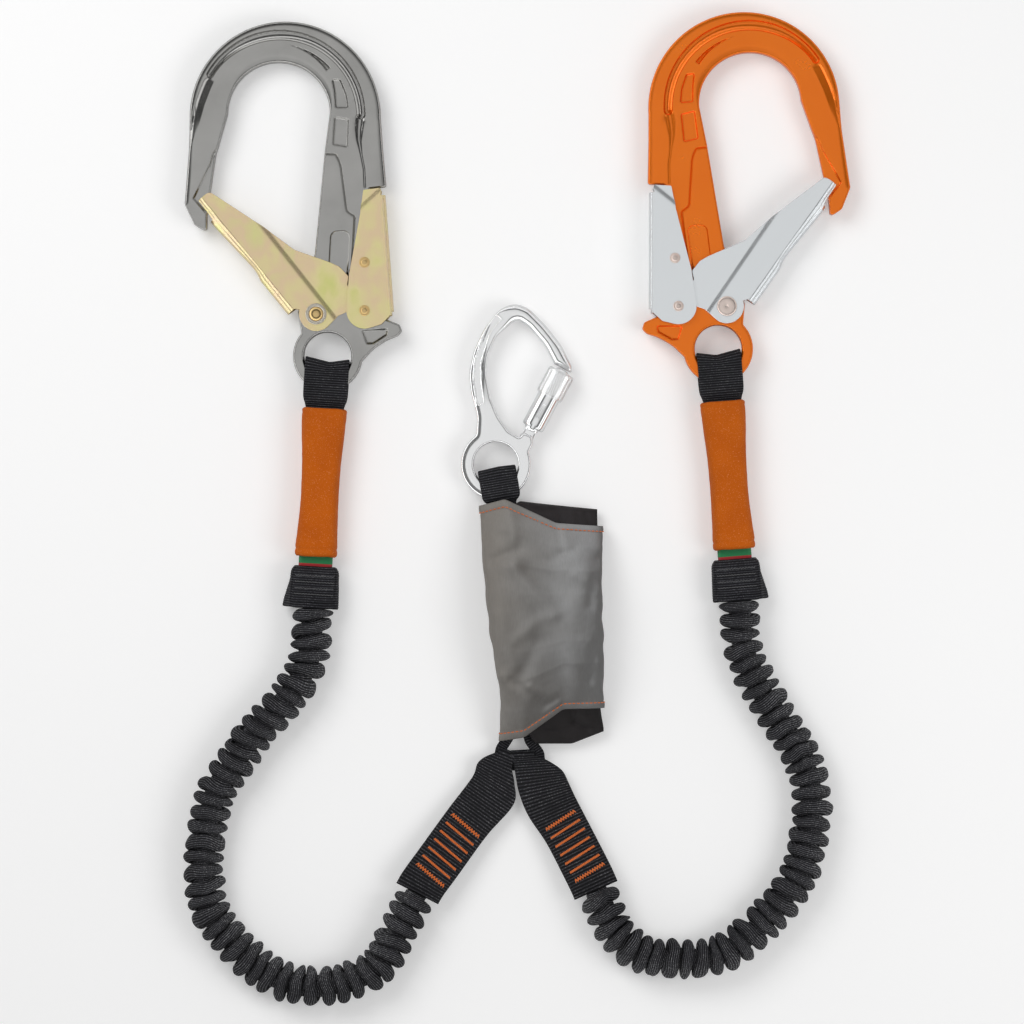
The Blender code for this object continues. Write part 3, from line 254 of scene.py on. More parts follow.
# deep orange, glossy, with a little wear where it is handled
f = Finish("orangeAnodised", (0.92, 0.19, 0.006), 0.24, 0.72, **{"Coat Weight": 0.25, "Coat Roughness": 0.08})
cloudy = f.grain(f.place, 38.0, 4.0)
orangeAnodised = f.done(f.mix(cloudy, (0.88, 0.175, 0.004), (0.97, 0.215, 0.008)), f.grain(f.place, 1500.0), 0.015, 0.3,
                        cloudy * 0.08 + 0.22)

# passivated zinc drifts between straw, rose and green
f = Finish("yellowZinc", (0.84, 0.74, 0.40), 0.24, 0.78)
drift = f.grain(f.place, 26.0, 3.0, 0.55) * 0.65 + f.grain(f.stretch(f.place, (60.0, 22.0, 40.0), 0.7), 1.0) * 0.45
hue = drift.ramp((0.32, (0.48, 0.64, 0.20)), (0.43, (0.74, 0.73, 0.28)), (0.51, (0.84, 0.75, 0.38)),
                 (0.60, (0.84, 0.65, 0.42)), (0.70, (0.78, 0.76, 0.34)))
speck = f.grain(f.place, 2200.0)
yellowZinc = f.done(f.mix(speck * 0.08, hue, (0.74, 0.62, 0.34)), speck, 0.006, 0.08, speck * 0.03 + 0.24)

# soft orange sleeve with a fine leathery grain and pale specks
f = Finish("orangeGrip", (0.56, 0.115, 0.004), 0.75, **{"Specular IOR Level": 0.25})
pores = f.node("ShaderNodeTexVoronoi", {}, {"Vector": f.place, "Scale": 1300.0})
leather = f.grain(f.place, 1700.0, 4.0, 0.6)
base = f.mix(f.grain(f.place, 55.0, 4.0), (0.47, 0.085, 0.002), (0.64, 0.135, 0.004))
orangeGrip = f.done(f.mix(leather.over(0.62) * 0.45, base, (0.86, 0.38, 0.16)), leather * 0.6 + pores * 0.5, 0.12, 0.7,
                    leather * 0.2 + 0.62)


def oxford(name, low, high, pitch, roughness=0.75, drift=None):
    # plain weave of two crossing threads; the piece's own attribute says how far its cloth leans to the light, and its
    # colour is painted lighter or darker by it: painted light and shade
    f = Finish(name, low, roughness, **{"Specular IOR Level": 0.3})
    x, y, z = f.split(f.place)
    warp, weft = ((way * (2 * math.pi / (pitch * mm))).wave() for way in (x, y))
    checker = warp * (1 - weft) + weft * (1 - warp)
    slub = f.grain(f.stretch(f.place, (2400.0, 130.0, 600.0)), 1.0, 2.0)
    cloudy = f.grain(f.place, 30.0, 4.0)
    tint = f.mix(cloudy * 0.25, f.mix(checker * 0.5 + slub * 0.5, low, high), scaled(low, 0.72))
    # painted light and shade: cloth leaning to the light is painted lighter, cloth leaning away darker
    nap = f.node("ShaderNodeAttribute", {"attribute_name": "nap"}, out=2)
    tint = f.mix(1.0, tint, f.mix(nap, (0.62, 0.61, 0.60), (1.36, 1.37, 1.39)), "MULTIPLY")
    if drift:   # painted light and shade: darker and warm at one side, paler and cool at the other, as light falls across the cloth
        tint = f.mix(1.0, tint, f.mix((x * 16.0 + (cloudy - 0.5) * 0.5 + 0.25).clamped(), *drift), "MULTIPLY")
    return f.done(tint, checker * 0.6 + slub * 0.5, 0.09, 0.6, checker * 0.15 + (roughness - 0.08))


greyCloth = oxford("greyCloth", (0.165, 0.165, 0.160), (0.30, 0.30, 0.292), 0.62,
                   drift=((0.86, 0.80, 0.74), (1.22, 1.23, 1.27)))
blackCloth = oxford("blackCloth", (0.012, 0.0105, 0.011), (0.034, 0.030, 0.031), 0.8)
rubber = oxford("elasticRubber", (0.06, 0.056, 0.052), (0.10, 0.094, 0.088), 0.9, 0.7)


def threadOf(name, colour):
    f = Finish(name, colour, 0.55, **{"Sheen Weight": 0.3})
    twist = f.grain(f.place, 2400.0, 2.0)
    return f.done(f.mix(twist, scaled(colour, 0.7), scaled(colour, 1.25)), twist, 0.08, 0.6)


orangeThread = threadOf("orangeThread", (0.72, 0.155, 0.020))
greyThread = threadOf("greyThread", (0.10, 0.10, 0.105))

# plain green band with a red stripe on the side away from the grip
f = Finish("greenLabel", (0.010, 0.20, 0.065), 0.45)
thread = f.grain(f.place, 1600.0, 2.0)
green = f.mix(thread, (0.008, 0.165, 0.050), (0.014, 0.235, 0.080))
red = f.mix(thread, (0.30, 0.012, 0.016), (0.44, 0.020, 0.026))
greenLabel = f.done(f.mix(f.split(f.grid)[0].over(0.0058), green, red), thread, 0.05, 0.5, thread * 0.25 + 0.35)

# of the CAD's own nodes only springs, elastic cores and the tear webbing stay in sight
for name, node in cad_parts.items():
    for place in node.material_slots:
        core = rubber if name.endswith("leg_core") else blackWebbing
        place.material = springWire if name.endswith("spring") else core
print("finishes ready")


# Lines, distances and meshes; lengths are millimetres until meshOf

def unevenness(*place):   # smooth noise from -1 to 1, the same in every run
    return noise.noise(Vector(place))


def fromPicture(px, py):   # a point of the picture, without the part's shift
    return (px - 516.5) * 0.62, (461.0 - py) * 0.62


def smoothStep(t):
    t = np.clip(t, 0.0, 1.0)
    return t * t * (3 - 2 * t)


def arcLine(centre, radius, start, end, step=0.8):
    count = max(3, round(abs(math.radians(end - start)) * radius / step))
    turns = np.radians(np.linspace(start, end, count + 1))
    return [(centre[0] + radius * math.cos(a), centre[1] + radius * math.sin(a)) for a in turns]


def roundedLine(corners, step=0.6):   # corners are (x, y) or (x, y, radius)
    points = []
    for k, corner in enumerate(corners):
        here = Vector(corner[:2])
        if len(corner) == 2 or corner[2] == 0:
            points.append(tuple(here))
            continue
        before = (Vector(corners[k - 1][:2]) - here).normalized()
        after = (Vector(corners[(k + 1) % len(corners)][:2]) - here).normalized()
        half = before.angle(after) / 2
        reach = corner[2] / math.tan(half)
        middle = here + (before + after).normalized() * corner[2] / math.sin(half)
        first = here + before * reach - middle
        swing = first.angle_signed(here + after * reach - middle)
        steps = max(3, round(abs(swing) * corner[2] / step))
        points += [tuple(middle + Matrix.Rotation(-swing * n / steps, 2) @ first) for n in range(steps + 1)]
    return points


def travelled(line):   # distance run at each point of a line
    return np.concatenate([[0.0], np.cumsum(np.linalg.norm(np.diff(line, axis=0), axis=1))])


def readOff(goals, run, rows):
    return np.stack([np.interp(goals, run, column) for column in rows.T], axis=1)


def evenly(line, spacing, closed=False):
    line = np.asarray(line, float)
    if closed:
        line = np.vstack([line, line[:1]])
    run = travelled(line)
    goals = np.linspace(0.0, run[-1], max(4, round(run[-1] / spacing)) + 1)
    return readOff(goals[:-1] if closed else goals, run, line)


def smoothCurve(rows, steps):
    # a dense curve through the rows and the distance run along it; the first three numbers of a row are its place
    rows = [np.asarray(row, float) for row in rows]
    longer = [rows[0] * 2 - rows[1], *rows, rows[-1] * 2 - rows[-2]]
    dense = [0.5 * (2 * b + (c - a) * t + (2 * a - 5 * b + 4 * c - d) * t * t + (3 * b - a - 3 * c + d) * t ** 3)
             for a, b, c, d in zip(longer, longer[1:], longer[2:], longer[3:]) for t in np.arange(steps) / steps]
    dense = np.array([*dense, rows[-1]])
    return dense, travelled(dense[:, :3])


def headings(line):
    ahead = np.gradient(line, axis=0)
    return ahead / np.linalg.norm(ahead, axis=1)[:, None]


def distanceTo(spots, line, closed=False, signed=False):
    line = np.asarray(line, float)
    starts, ends = (line, np.roll(line, -1, axis=0)) if closed else (line[:-1], line[1:])
    span = ends - starts
    size = np.maximum((span ** 2).sum(axis=1), 1e-12)
    found = np.empty(len(spots))
    for k in range(0, len(spots), 1500):   # in lots, to spare memory
        off = spots[k:k + 1500, None, :] - starts[None]
        t = np.clip((off * span).sum(axis=2) / size, 0.0, 1.0)
        far = ((off - t[..., None] * span) ** 2).sum(axis=2)
        near = far.argmin(axis=1)
        row = np.arange(len(near))
        found[k:k + 1500] = np.sqrt(far[row, near])
        if signed:
            found[k:k + 1500] *= np.sign(span[near, 0] * off[row, near, 1] - span[near, 1] * off[row, near, 0])
    return found


def insideOf(spots, loop):
    x, y = np.asarray(loop, float).T
    nextX, nextY = np.roll(x, -1), np.roll(y, -1)
    found = np.zeros(len(spots), bool)
    for k in range(0, len(spots), 1500):
        px, py = spots[k:k + 1500, :1], spots[k:k + 1500, 1:]
        crossing = ((y > py) != (nextY > py)) & (px < (nextX - x) * (py - y) / (nextY - y + 1e-12) + x)
        found[k:k + 1500] = crossing.sum(axis=1) % 2 == 1
    return found


def between(spots, outside, holes):   # inside the outline and in none of its holes
    keep = insideOf(spots, outside)
    for hole in holes:
        keep &= ~insideOf(spots, hole)
    return keep


def depthIn(spots, loop):   # which spots lie near the loop, and how deep inside it
    near = np.all((spots > loop.min(axis=0) - 2.0) & (spots < loop.max(axis=0) + 2.0), axis=1)
    spots = spots[near]
    return near, np.where(insideOf(spots, loop), 1.0, -1.0) * distanceTo(spots, loop, True)


def rowsBeside(line, offsets, closed=False):   # copies of a line to its left, kept only where they don't fold over
    line = np.asarray(line, float)
    ahead = np.roll(line, -1, axis=0) - np.roll(line, 1, axis=0) if closed else np.gradient(line, axis=0)
    ahead /= np.linalg.norm(ahead, axis=1)[:, None]
    left = np.stack([-ahead[:, 1], ahead[:, 0]], axis=1)
    rows = [(line + left * offset, abs(offset) - 0.04) for offset in offsets]
    return np.vstack([row[distanceTo(row, line, closed) > least] for row, least in rows])


def roundOff(away, width, fall):   # how far a rounded edge falls, by the distance from it
    return fall * (1 - np.sqrt(1 - (1 - np.clip(away, 0, width) / width) ** 2))


def bevel(share, ease=0.03, cut=0.03):   # a straight fall that starts softly
    return 0.5 * (share + np.sqrt(share ** 2 + ease) - cut)


def chosen(piece):   # only this piece selected and active
    bpy.ops.object.select_all(action="DESELECT")
    bpy.context.view_layer.objects.active = piece
    piece.select_set(True)
    return piece


def applied(piece, kind, **settings):
    chosen(piece)
    step = piece.modifiers.new(kind.lower(), kind)
    for key, value in settings.items():
        setattr(step, key, value)
    bpy.ops.object.modifier_apply(modifier=step.name)
    return piece


def combined(piece, operation, other):   # the other piece is used up
    applied(piece, "BOOLEAN", operation=operation, object=other)
    bpy.data.objects.remove(other, do_unlink=True)


def outward(piece, merge=None):
    chosen(piece)
    bpy.ops.object.mode_set(mode="EDIT")
    bpy.ops.mesh.select_all(action="SELECT")
    if merge:
        bpy.ops.mesh.remove_doubles(threshold=merge)
    bpy.ops.mesh.normals_make_consistent(inside=False)
    bpy.ops.object.mode_set(mode="OBJECT")
    return piece


def meshOf(name, points, faces, finish, uv=None, smooth=True, edges=()):
    # points in millimetres and faces to an object; uv is one pair for each corner of each face, in order
    data = bpy.data.meshes.new(name)
    data.from_pydata([tuple(p) for p in np.asarray(points) * mm], edges, faces)
    if uv is not None:
        data.uv_layers.new(name="map").data.foreach_set("uv", np.asarray(uv, dtype=np.float32).ravel() * mm)
    if smooth:
        data.polygons.foreach_set("use_smooth", [True] * len(data.polygons))
    made = bpy.data.objects.new(name, data)
    bpy.context.scene.collection.objects.link(made)
    data.materials.append(finish)
    return made


def tubeFaces(rows, around, maps, seams=None):
    # quads between neighbouring rings and their places on the map, which runs on by seams[row] past the last column
    faces, uv = [], []
    for i in range(rows):
        for j in range(around):
            k = (j + 1) % around
            face = (i * around + j, i * around + k, (i + 1) * around + k, (i + 1) * around + j)
            corners = [maps[n] for n in face]
            if seams is not None and k == 0:
                corners[1:3] = [(u + seams[i][0], v + seams[i][1]) for u, v in corners[1:3]]
            faces.append(face)
            uv += corners
    return faces, uv


def copyOf(piece, name, finish):
    made = piece.copy()
    made.data = piece.data.copy()
    made.name = made.data.name = name
    bpy.context.scene.collection.objects.link(made)
    made.data.materials.clear()
    made.data.materials.append(finish)
    return made


def putInPlace(piece, place, body, slotName, *nodes, angle=40):
    # the piece's own shape moves into the frame, and it takes over from the CAD nodes named
    piece.data.transform(place @ piece.matrix_basis)
    piece.matrix_basis = Matrix()
    if place.determinant() < 0:
        piece.data.flip_normals()
    chosen(piece)
    bpy.ops.object.shade_smooth_by_angle(angle=math.radians(angle))
    if nodes:
        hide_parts(*nodes)
    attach(piece, body)
    return piece


def forgedPlate(name, outline, holes, extraRows, relief, finish):
    # a face whose height follows relief(spots), its mirror image behind, and the walls between them
    loops = [outline, *holes]
    low, high = outline.min(axis=0), outline.max(axis=0)
    across, along = np.meshgrid(np.arange(low[0], high[0], 3.1), np.arange(low[1], high[1], 3.1))
    loose = np.vstack([extraRows, np.stack([across.ravel(), along.ravel()], axis=1)])
    keep = between(loose, outline, holes)
    for loop in loops:
        keep &= distanceTo(loose, loop, True) > 0.09
    taken, picked = {}, []
    for x, y in loose[keep]:   # no two points closer than a sixth of a millimetre
        cell = (int(x // 0.2), int(y // 0.2))
        near = [p for a in (-1, 0, 1) for b in (-1, 0, 1) for p in taken.get((cell[0] + a, cell[1] + b), ())]
        if all((p[0] - x) ** 2 + (p[1] - y) ** 2 > 0.03 for p in near):
            taken.setdefault(cell, []).append((x, y))
            picked.append((x, y))
    edges, start = [], 0
    for loop in loops:
        edges += [(start + k, start + (k + 1) % len(loop)) for k in range(len(loop))]
        start += len(loop)
    corners = [Vector(p) for line in (*loops, picked) for p in line]
    spots, _, faces, _, _, _ = delaunay_2d_cdt(corners, edges, [], 0, 1e-5)
    spots, faces = np.array([tuple(p) for p in spots]), np.array(faces)
    a, b, c = (spots[faces[:, k]] for k in range(3))
    clockwise = (b[:, 0] - a[:, 0]) * (c[:, 1] - a[:, 1]) <= (b[:, 1] - a[:, 1]) * (c[:, 0] - a[:, 0])
    faces[clockwise] = faces[clockwise, ::-1]
    faces = faces[between(spots[faces].mean(axis=1), outline, holes)]
    rims = {}
    for a, b, c in faces.tolist():
        for edge in ((a, b), (b, c), (c, a)):
            if rims.pop(edge[::-1], None) is None:
                rims[edge] = True
    height, count = relief(spots), len(spots)
    points = np.vstack([np.column_stack([spots, height]), np.column_stack([spots, -height])])
    solid = [tuple(f) for f in faces.tolist()] + [tuple(f[k] + count for k in (2, 1, 0)) for f in faces.tolist()]
    return meshOf(name, points, solid + [(a, a + count, b + count, b) for a, b in rims], finish)


# Hooks: each side has its own frame, and the right one is the left one's mirror image
hook = {"height": 11.0, "half": 5.5, "edge": 1.15, "eyeEdge": 0.45, "archCentre": (-26.3, 148.0), "archRadius": 59.2,
        "mouthCentre": (-30.3, 150.3), "mouthRadius": 31.6, "eye": 14.6, "ring": 21.5,
        "outerBevel": (2.9, 0.75), "innerBevel": (4.2, 1.05),
        "grooveCentre": (-29.5, 148.5), "grooveRadius": 50.2, "grooveDepth": 2.1, "pocketDepth": 1.8,
        "recessDepth": 0.8, "noseDepth": 1.5, "pocketWall": 1.7, "recessWall": 1.1, "noseWall": 1.4,
        "gatePivot": (-7.0, 25.9), "leverPivot": (23.0, 28.0), "leverCatch": (23.0, 57.8), "slotEnd": (19.89, 57.64),
        "gateHole": 3.5, "leverHole": 2.6, "bosses": (6.5, 5.6), "bossDepth": 2.86}
places = {"left": (-117.0, 65.0, hook["height"]), "right": (125.0, 69.4, hook["height"]),
          "carabiner": (-12.8, -2.0, 9.05)}
mirrored = {"left": Matrix(), "right": Matrix.Scale(-1.0, 4, (1.0, 0.0, 0.0))}
metals = {"left": "yellow_zinc", "right": "bright_zinc"}


def placed(where, turn, side="left"):
    start = Matrix.Translation(centring + Vector(places[where]) * mm)
    return start @ Matrix.Rotation(math.radians(turn), 4, "Z") @ mirrored[side]


hookPlace = {"left": placed("left", 0.0), "right": placed("right", 4.0, "right")}
hookMouth = arcLine(hook["mouthCentre"], hook["mouthRadius"], 180, 0)
hookCrown = arcLine(hook["archCentre"], hook["archRadius"], 0, 180)
hookOutline = evenly(roundedLine(
    [(-76.6, 77.8, 1.2), (-74.8, 78.6, 0.8), (-74.8, 86.6, 0.0), (-69.2, 124.5, 9.0)] + hookMouth   # nose
    + [(-2.0, 125.2, 30.0), (-7.9, 63.6, 20.0), (-13.0, 41.0, 8.0), (-18.4, 27.0, 6.0), (-16.4, 14.3, 2.6)]   # spine
    + arcLine((0.0, 0.0), hook["ring"], 141, 350.5)
    + [(27.9, 4.1, 30.0), (37.1, 10.1, 30.0), (43.6, 12.4, 6.0), (46.2, 15.6, 1.6), (44.6, 19.6, 1.4)]
    + [(35.8, 22.8, 1.5)]
    + [(25.4, 99.6, 2.0), (26.2, 103.7, 0.0), (36.4, 104.8, 1.4), (34.2, 130.0, 30.0)] + hookCrown   # back
    + [(-85.8, 129.8, 30.0), (-88.6, 94.0, 4.0), (-82.4, 81.0, 3.0)]), 0.75, True)   # tip
crescent = arcLine(hook["mouthCentre"], 42.8, 80, 41)
crescent += [arcLine(hook["mouthCentre"], 39.3 + 0.3 * n, 41 + 3.7 * n, 41 + 3.7 * n)[0] for n in range(10)]
hookPockets = [evenly(line, 0.55, True) for line in [crescent] + [roundedLine(corners, 0.3) for corners in (
    [(2.2, 171.8, 1.6), (8.2, 171.4, 1.8), (12.0, 162.5, 20.0), (13.4, 153.2, 1.6), (4.6, 153.2, 1.6),
     (3.8, 163.5, 20.0)],
    [(4.0, 148.6, 1.4), (13.4, 147.0, 1.4), (12.8, 128.8, 1.4), (2.8, 130.4, 1.4)],
    [(1.2, 78.0, 5.0), (15.0, 78.4, 5.0), (12.4, 42.0, 3.0), (-0.8, 42.0, 3.0)],
    [(20.6, 16.2, 1.4), (37.8, 17.4, 1.4), (36.8, 12.6, 1.2), (28.4, 7.2, 1.2), (24.0, 7.2, 1.2)])]]
hookRecess = evenly(roundedLine([(-30.0, 127.2), (5.4, 125.4, 2.4), (8.6, 119.5, 20.0), (12.4, 90.0, 3.0),
                                 (17.6, 86.6, 2.0), (15.8, 52.0, 2.0), (-30.0, 52.0)]), 0.6, True)
hookThinned = evenly([(-64.0, 134.0), (-70.8, 126.2), (-73.0, 119.5), (-83.6, 97.4), (-76.2, 89.0), (-60.0, 80.0)],
                     0.6, True)
hookGroove = evenly(arcLine(hook["grooveCentre"], hook["grooveRadius"], 149, 1), 0.7)
hookValley = evenly([(-74.4, 171.0), (-76.6, 166.0), (-80.0, 157.0), (-82.9, 146.0), (-86.4, 133.7), (-87.6, 125.0)],
                    0.7)
hookCrease = evenly([(20.2, 147.0), (19.5, 140.0), (19.4, 133.7), (21.0, 124.0), (22.6, 116.0), (23.1, 104.6)], 0.6)
hookHoles = [evenly(line, 0.7, True) for line in (
    arcLine((0.0, 0.0), hook["eye"], 0, 357), arcLine(hook["gatePivot"], hook["gateHole"], 0, 348),
    arcLine(hook["leverPivot"], hook["leverHole"], 0, 345),
    arcLine(hook["leverCatch"], hook["leverHole"], -90, 90) + arcLine(hook["slotEnd"], hook["leverHole"], 90, 270))]


def grooveHalf(turn):   # half the groove's width, by the angle round the arch
    return 2.75 + 0.45 * np.sin(np.radians(np.clip(turn, 0, 180))) - 0.7 * smoothStep((turn - 105) / 40)


def polar(spots, centre):
    away = spots - np.array(centre)
    return np.degrees(np.arctan2(away[:, 1], away[:, 0])), np.hypot(away[:, 0], away[:, 1])


def hookRelief(spots):
    s = hook
    x, y = spots.T
    z = np.full(len(spots), s["half"])
    # long bevels: outside from the tip over the crown to the back, inside round the mouth
    outer = distanceTo(spots, [(36.0, 106.0), (34.2, 130.0), (33.4, 146.0)] + hookCrown)
    outer = np.minimum(outer, distanceTo(spots, [(-85.4, 148.0), (-87.2, 110.0), (-88.4, 96.0)]))
    width, drop = s["outerBevel"]
    z -= drop * bevel(1 - outer / width)
    swing, far = polar(spots, s["mouthCentre"])
    inner = far - s["mouthRadius"]
    reach = np.where(y > s["mouthCentre"][1] - 12, smoothStep((swing + 18) / 55) * smoothStep((172 - swing) / 60), 0.0)
    width, drop = s["innerBevel"]
    z -= drop * reach * bevel(1 - inner / (width * np.maximum(reach, 0.05))) * (inner < 12)
    # the groove, whose floor slopes outwards, the valley towards the tip and the crease down the back
    turn, far = polar(spots, s["grooveCentre"])
    half = grooveHalf(turn)
    away = distanceTo(spots, hookGroove) / half
    lean = 1 + np.clip((far - s["grooveRadius"]) / half, -1, 1) * (0.66 - 0.18 * smoothStep((turn - 60) / 40))
    z = np.minimum(z, s["half"] - s["grooveDepth"] * lean * np.sqrt(np.clip(1 - away ** 2.4, 0, 1)) - 0.12 * (away < 1))
    beside = distanceTo(spots, hookValley, signed=True)
    wide = np.where(beside > 0, 4.3, 1.7) * (0.35 + 0.65 * smoothStep((y - 120) / 26))
    depth = (0.25 + 1.2 * smoothStep((y - 122) / 40)) * smoothStep((173.5 - y) / 4.0)
    z -= depth * np.clip(1 - np.abs(beside) / wide, 0, 1)
    wide = 0.75 + 2.2 * smoothStep((y - 122) / 24)
    z -= (0.32 + 0.75 * smoothStep((y - 124) / 22)) * np.clip(1 - (distanceTo(spots, hookCrease) / wide) ** 1.6, 0, 1)
    # recesses with rounded rims
    for loop, depth, wall in [(line, s["pocketDepth"], s["pocketWall"]) for line in hookPockets] + [
            (hookRecess, s["recessDepth"], s["recessWall"]), (hookThinned, s["noseDepth"], s["noseWall"])]:
        near, inside = depthIn(spots, loop)
        cut = depth * smoothStep((inside + 0.25) / wall)
        if loop is hookRecess:
            cut += 0.55 * np.exp(-((inside - 0.75) / 0.45) ** 2)
        z[near] = np.minimum(z[near], s["half"] - cut)
    for pivot, radius in zip((s["gatePivot"], s["leverPivot"]), s["bosses"]):
        z = np.where(polar(spots, pivot)[1] < radius + 0.02, np.minimum(z, s["half"] - s["bossDepth"]), z)
    # rounded edges all round, fuller on the eye
    for loop in (hookOutline, hookHoles[0]):
        edge = s["edge"] + s["eyeEdge"] * (np.hypot(x, y) < 24)
        z -= roundOff(distanceTo(spots, loop, True), edge, edge)
    return z


def bothSides(*offsets):
    return [-offset for offset in offsets[::-1]] + [0.0, *offsets]


rows = [rowsBeside(hookOutline, (0.1, 0.26, 0.5, 0.8, 1.2, 1.7, 2.3, 2.8, 3.2), True),
        rowsBeside(hookHoles[0], (-0.1, -0.26, -0.5, -0.8, -1.2, -1.7, -2.3), True),
        rowsBeside(evenly(hookMouth, 0.8), (2.4, 3.0, 3.6, 4.2, 4.8, 5.4)),
        rowsBeside(hookValley, (-2.0, -1.6, -1.1, -0.5, 0, 0.5, 1.3, 2.1, 3.0, 3.8, 4.3, 4.7)),
        rowsBeside(hookCrease, bothSides(0.3, 0.6, 1.0, 1.7, 2.6))]
rows += [rowsBeside(line, bothSides(0.2, 0.45, 0.7, 0.95, 1.2, 1.45, 1.7), True)
         for line in hookPockets + [hookRecess, hookThinned]]
turns = np.linspace(1, 149, 200)
for part in bothSides(0.2, 0.45, 0.62, 0.76, 0.86, 0.93, 0.98, 1.02, 1.1):
    far = hook["grooveRadius"] + part * grooveHalf(turns)
    rows.append(np.stack([hook["grooveCentre"][0] + far * np.cos(np.radians(turns)),
                          hook["grooveCentre"][1] + far * np.sin(np.radians(turns))], axis=1))
for end in (hookGroove[0], hookGroove[-1]):
    rows += [arcLine(end, radius, 0, 350, 0.6) for radius in (0.8, 1.6, 2.1, 2.5, 2.9)]
for pivot, radius in zip((hook["gatePivot"], hook["leverPivot"]), hook["bosses"]):
    rows += [arcLine(pivot, reach, 0, 356, 0.8) for reach in (radius, radius + 0.25)]

leftForging = forgedPlate("leftHookForging", hookOutline, hookHoles, np.vstack(rows), hookRelief, greySteel)
rightForging = copyOf(leftForging, "rightHookForging", orangeAnodised)
putInPlace(leftForging, hookPlace["left"], "left_hook", "grey_steel", "left_hook_body")
putInPlace(rightForging, hookPlace["right"], "right_hook", "orange_anodised", "right_hook_body")
print("hooks forged,", len(leftForging.data.polygons), "faces each")


# Gates and levers: each one folded and creased sheet round the hook's body

def drilled(piece, centre, radius, depth=30.0, steps=32):
    bpy.ops.mesh.primitive_cylinder_add(vertices=steps, radius=radius * mm, depth=depth * mm,
                                        location=(centre[0] * mm, centre[1] * mm, 0.0))
    combined(piece, "DIFFERENCE", bpy.context.object)


def foldedSheet(name, s, finish):
    # one side plate drawn flat and creased, its fold edge drawn down step by step to the middle plane, then mirrored
    first, last = (Vector(end) for end in s["fold"])
    run, far = (last - first).normalized(), (last - first).length
    away = Vector((run.y, -run.x))

    def fromFold(corner):   # how far along the fold and out of it
        off = Vector(corner.co[:2]) / mm - first
        return off.dot(run), off.dot(away)

    line = roundedLine([*s["before"], *s["fold"], *s["after"]])
    at = min(range(len(line)), key=lambda k: (Vector(line[k]) - first).length)
    line[at + 1:at + 1] = [tuple(first.lerp(last, n / 30)) for n in range(1, 30)]
    line = [p for k, p in enumerate(line) if (Vector(p) - Vector(line[k - 1])).length > 0.02]
    plate = chosen(meshOf(name, [(*p, 0.0) for p in line], [tuple(range(len(line)))], finish, smooth=False))
    slope = Vector(s["creaseRun"]).normalized()
    across = Vector((-slope.y, slope.x))
    bpy.ops.object.mode_set(mode="EDIT")
    for n in range(9):
        bpy.ops.mesh.select_all(action="SELECT")
        spot = Vector(s["crease"]) + across * (s["creaseWidth"] * n / 8)
        bpy.ops.mesh.bisect(plane_co=(spot.x * mm, spot.y * mm, 0.0), plane_no=(across.x, across.y, 0.0))
    bpy.ops.object.mode_set(mode="OBJECT")
    for corner in plate.data.vertices:
        share = (Vector(corner.co[:2]) / mm - Vector(s["crease"])).dot(across) / s["creaseWidth"]
        corner.co.z = (s["level"] + s["rise"] * float(smoothStep(share))) * mm
        along, out = fromFold(corner)
        corner.select = abs(out) < 0.004 and -0.01 < along < far + 0.01
    for edge in plate.data.edges:
        edge.select = all(plate.data.vertices[k].select for k in edge.vertices)
    for face in plate.data.polygons:
        face.select = False
    bpy.ops.object.mode_set(mode="EDIT")
    bpy.ops.mesh.select_mode(type="EDGE")
    before = (0.0, s["level"])
    for out, height in s["bend"]:
        step = away * (out - before[0]) * mm
        bpy.ops.mesh.extrude_region_move(TRANSFORM_OT_translate={"value": (step.x, step.y, (height - before[1]) * mm)})
        before = (out, height)
    bpy.ops.mesh.select_mode(type="VERT")
    bpy.ops.mesh.select_all(action="SELECT")
    bpy.ops.mesh.normals_make_consistent(inside=False)
    bpy.ops.mesh.select_all(action="DESELECT")
    bpy.ops.object.mode_set(mode="OBJECT")
    for corner in plate.data.vertices:   # how far the web stands out changes along its length
        along, out = fromFold(corner)
        if out > 0.05:
            grow = float(np.interp(along / far, *zip(*s["reach"]))) - 1.0
            corner.co.x += away.x * out * grow * mm
            corner.co.y += away.y * out * grow * mm
    for corner in plate.data.vertices:   # only a lip is left of the web beside the hook's nose
        along, out = fromFold(corner)
        corner.select = out > 0.05 and along < s["lipEnd"] and corner.co.z < s["lipLevel"] * mm
    if any(corner.select for corner in plate.data.vertices):
        bpy.ops.object.mode_set(mode="EDIT")
        bpy.ops.mesh.delete(type="VERT")
        bpy.ops.object.mode_set(mode="OBJECT")
    applied(plate, "MIRROR", use_axis=(False, False, True), merge_threshold=0.00001)
    if max(plate.data.polygons, key=lambda face: face.center.z + face.area).normal.z < 0:
        plate.data.flip_normals()
    applied(plate, "SOLIDIFY", thickness=s["sheet"] * mm, offset=1.0, use_even_offset=True)
    for centre, radius in s["drills"]:
        drilled(plate, centre, radius)
    return applied(plate, "BEVEL", width=s["edge"] * mm, segments=2, limit_method="ANGLE", angle_limit=math.radians(50),
                   use_clamp_overlap=True)


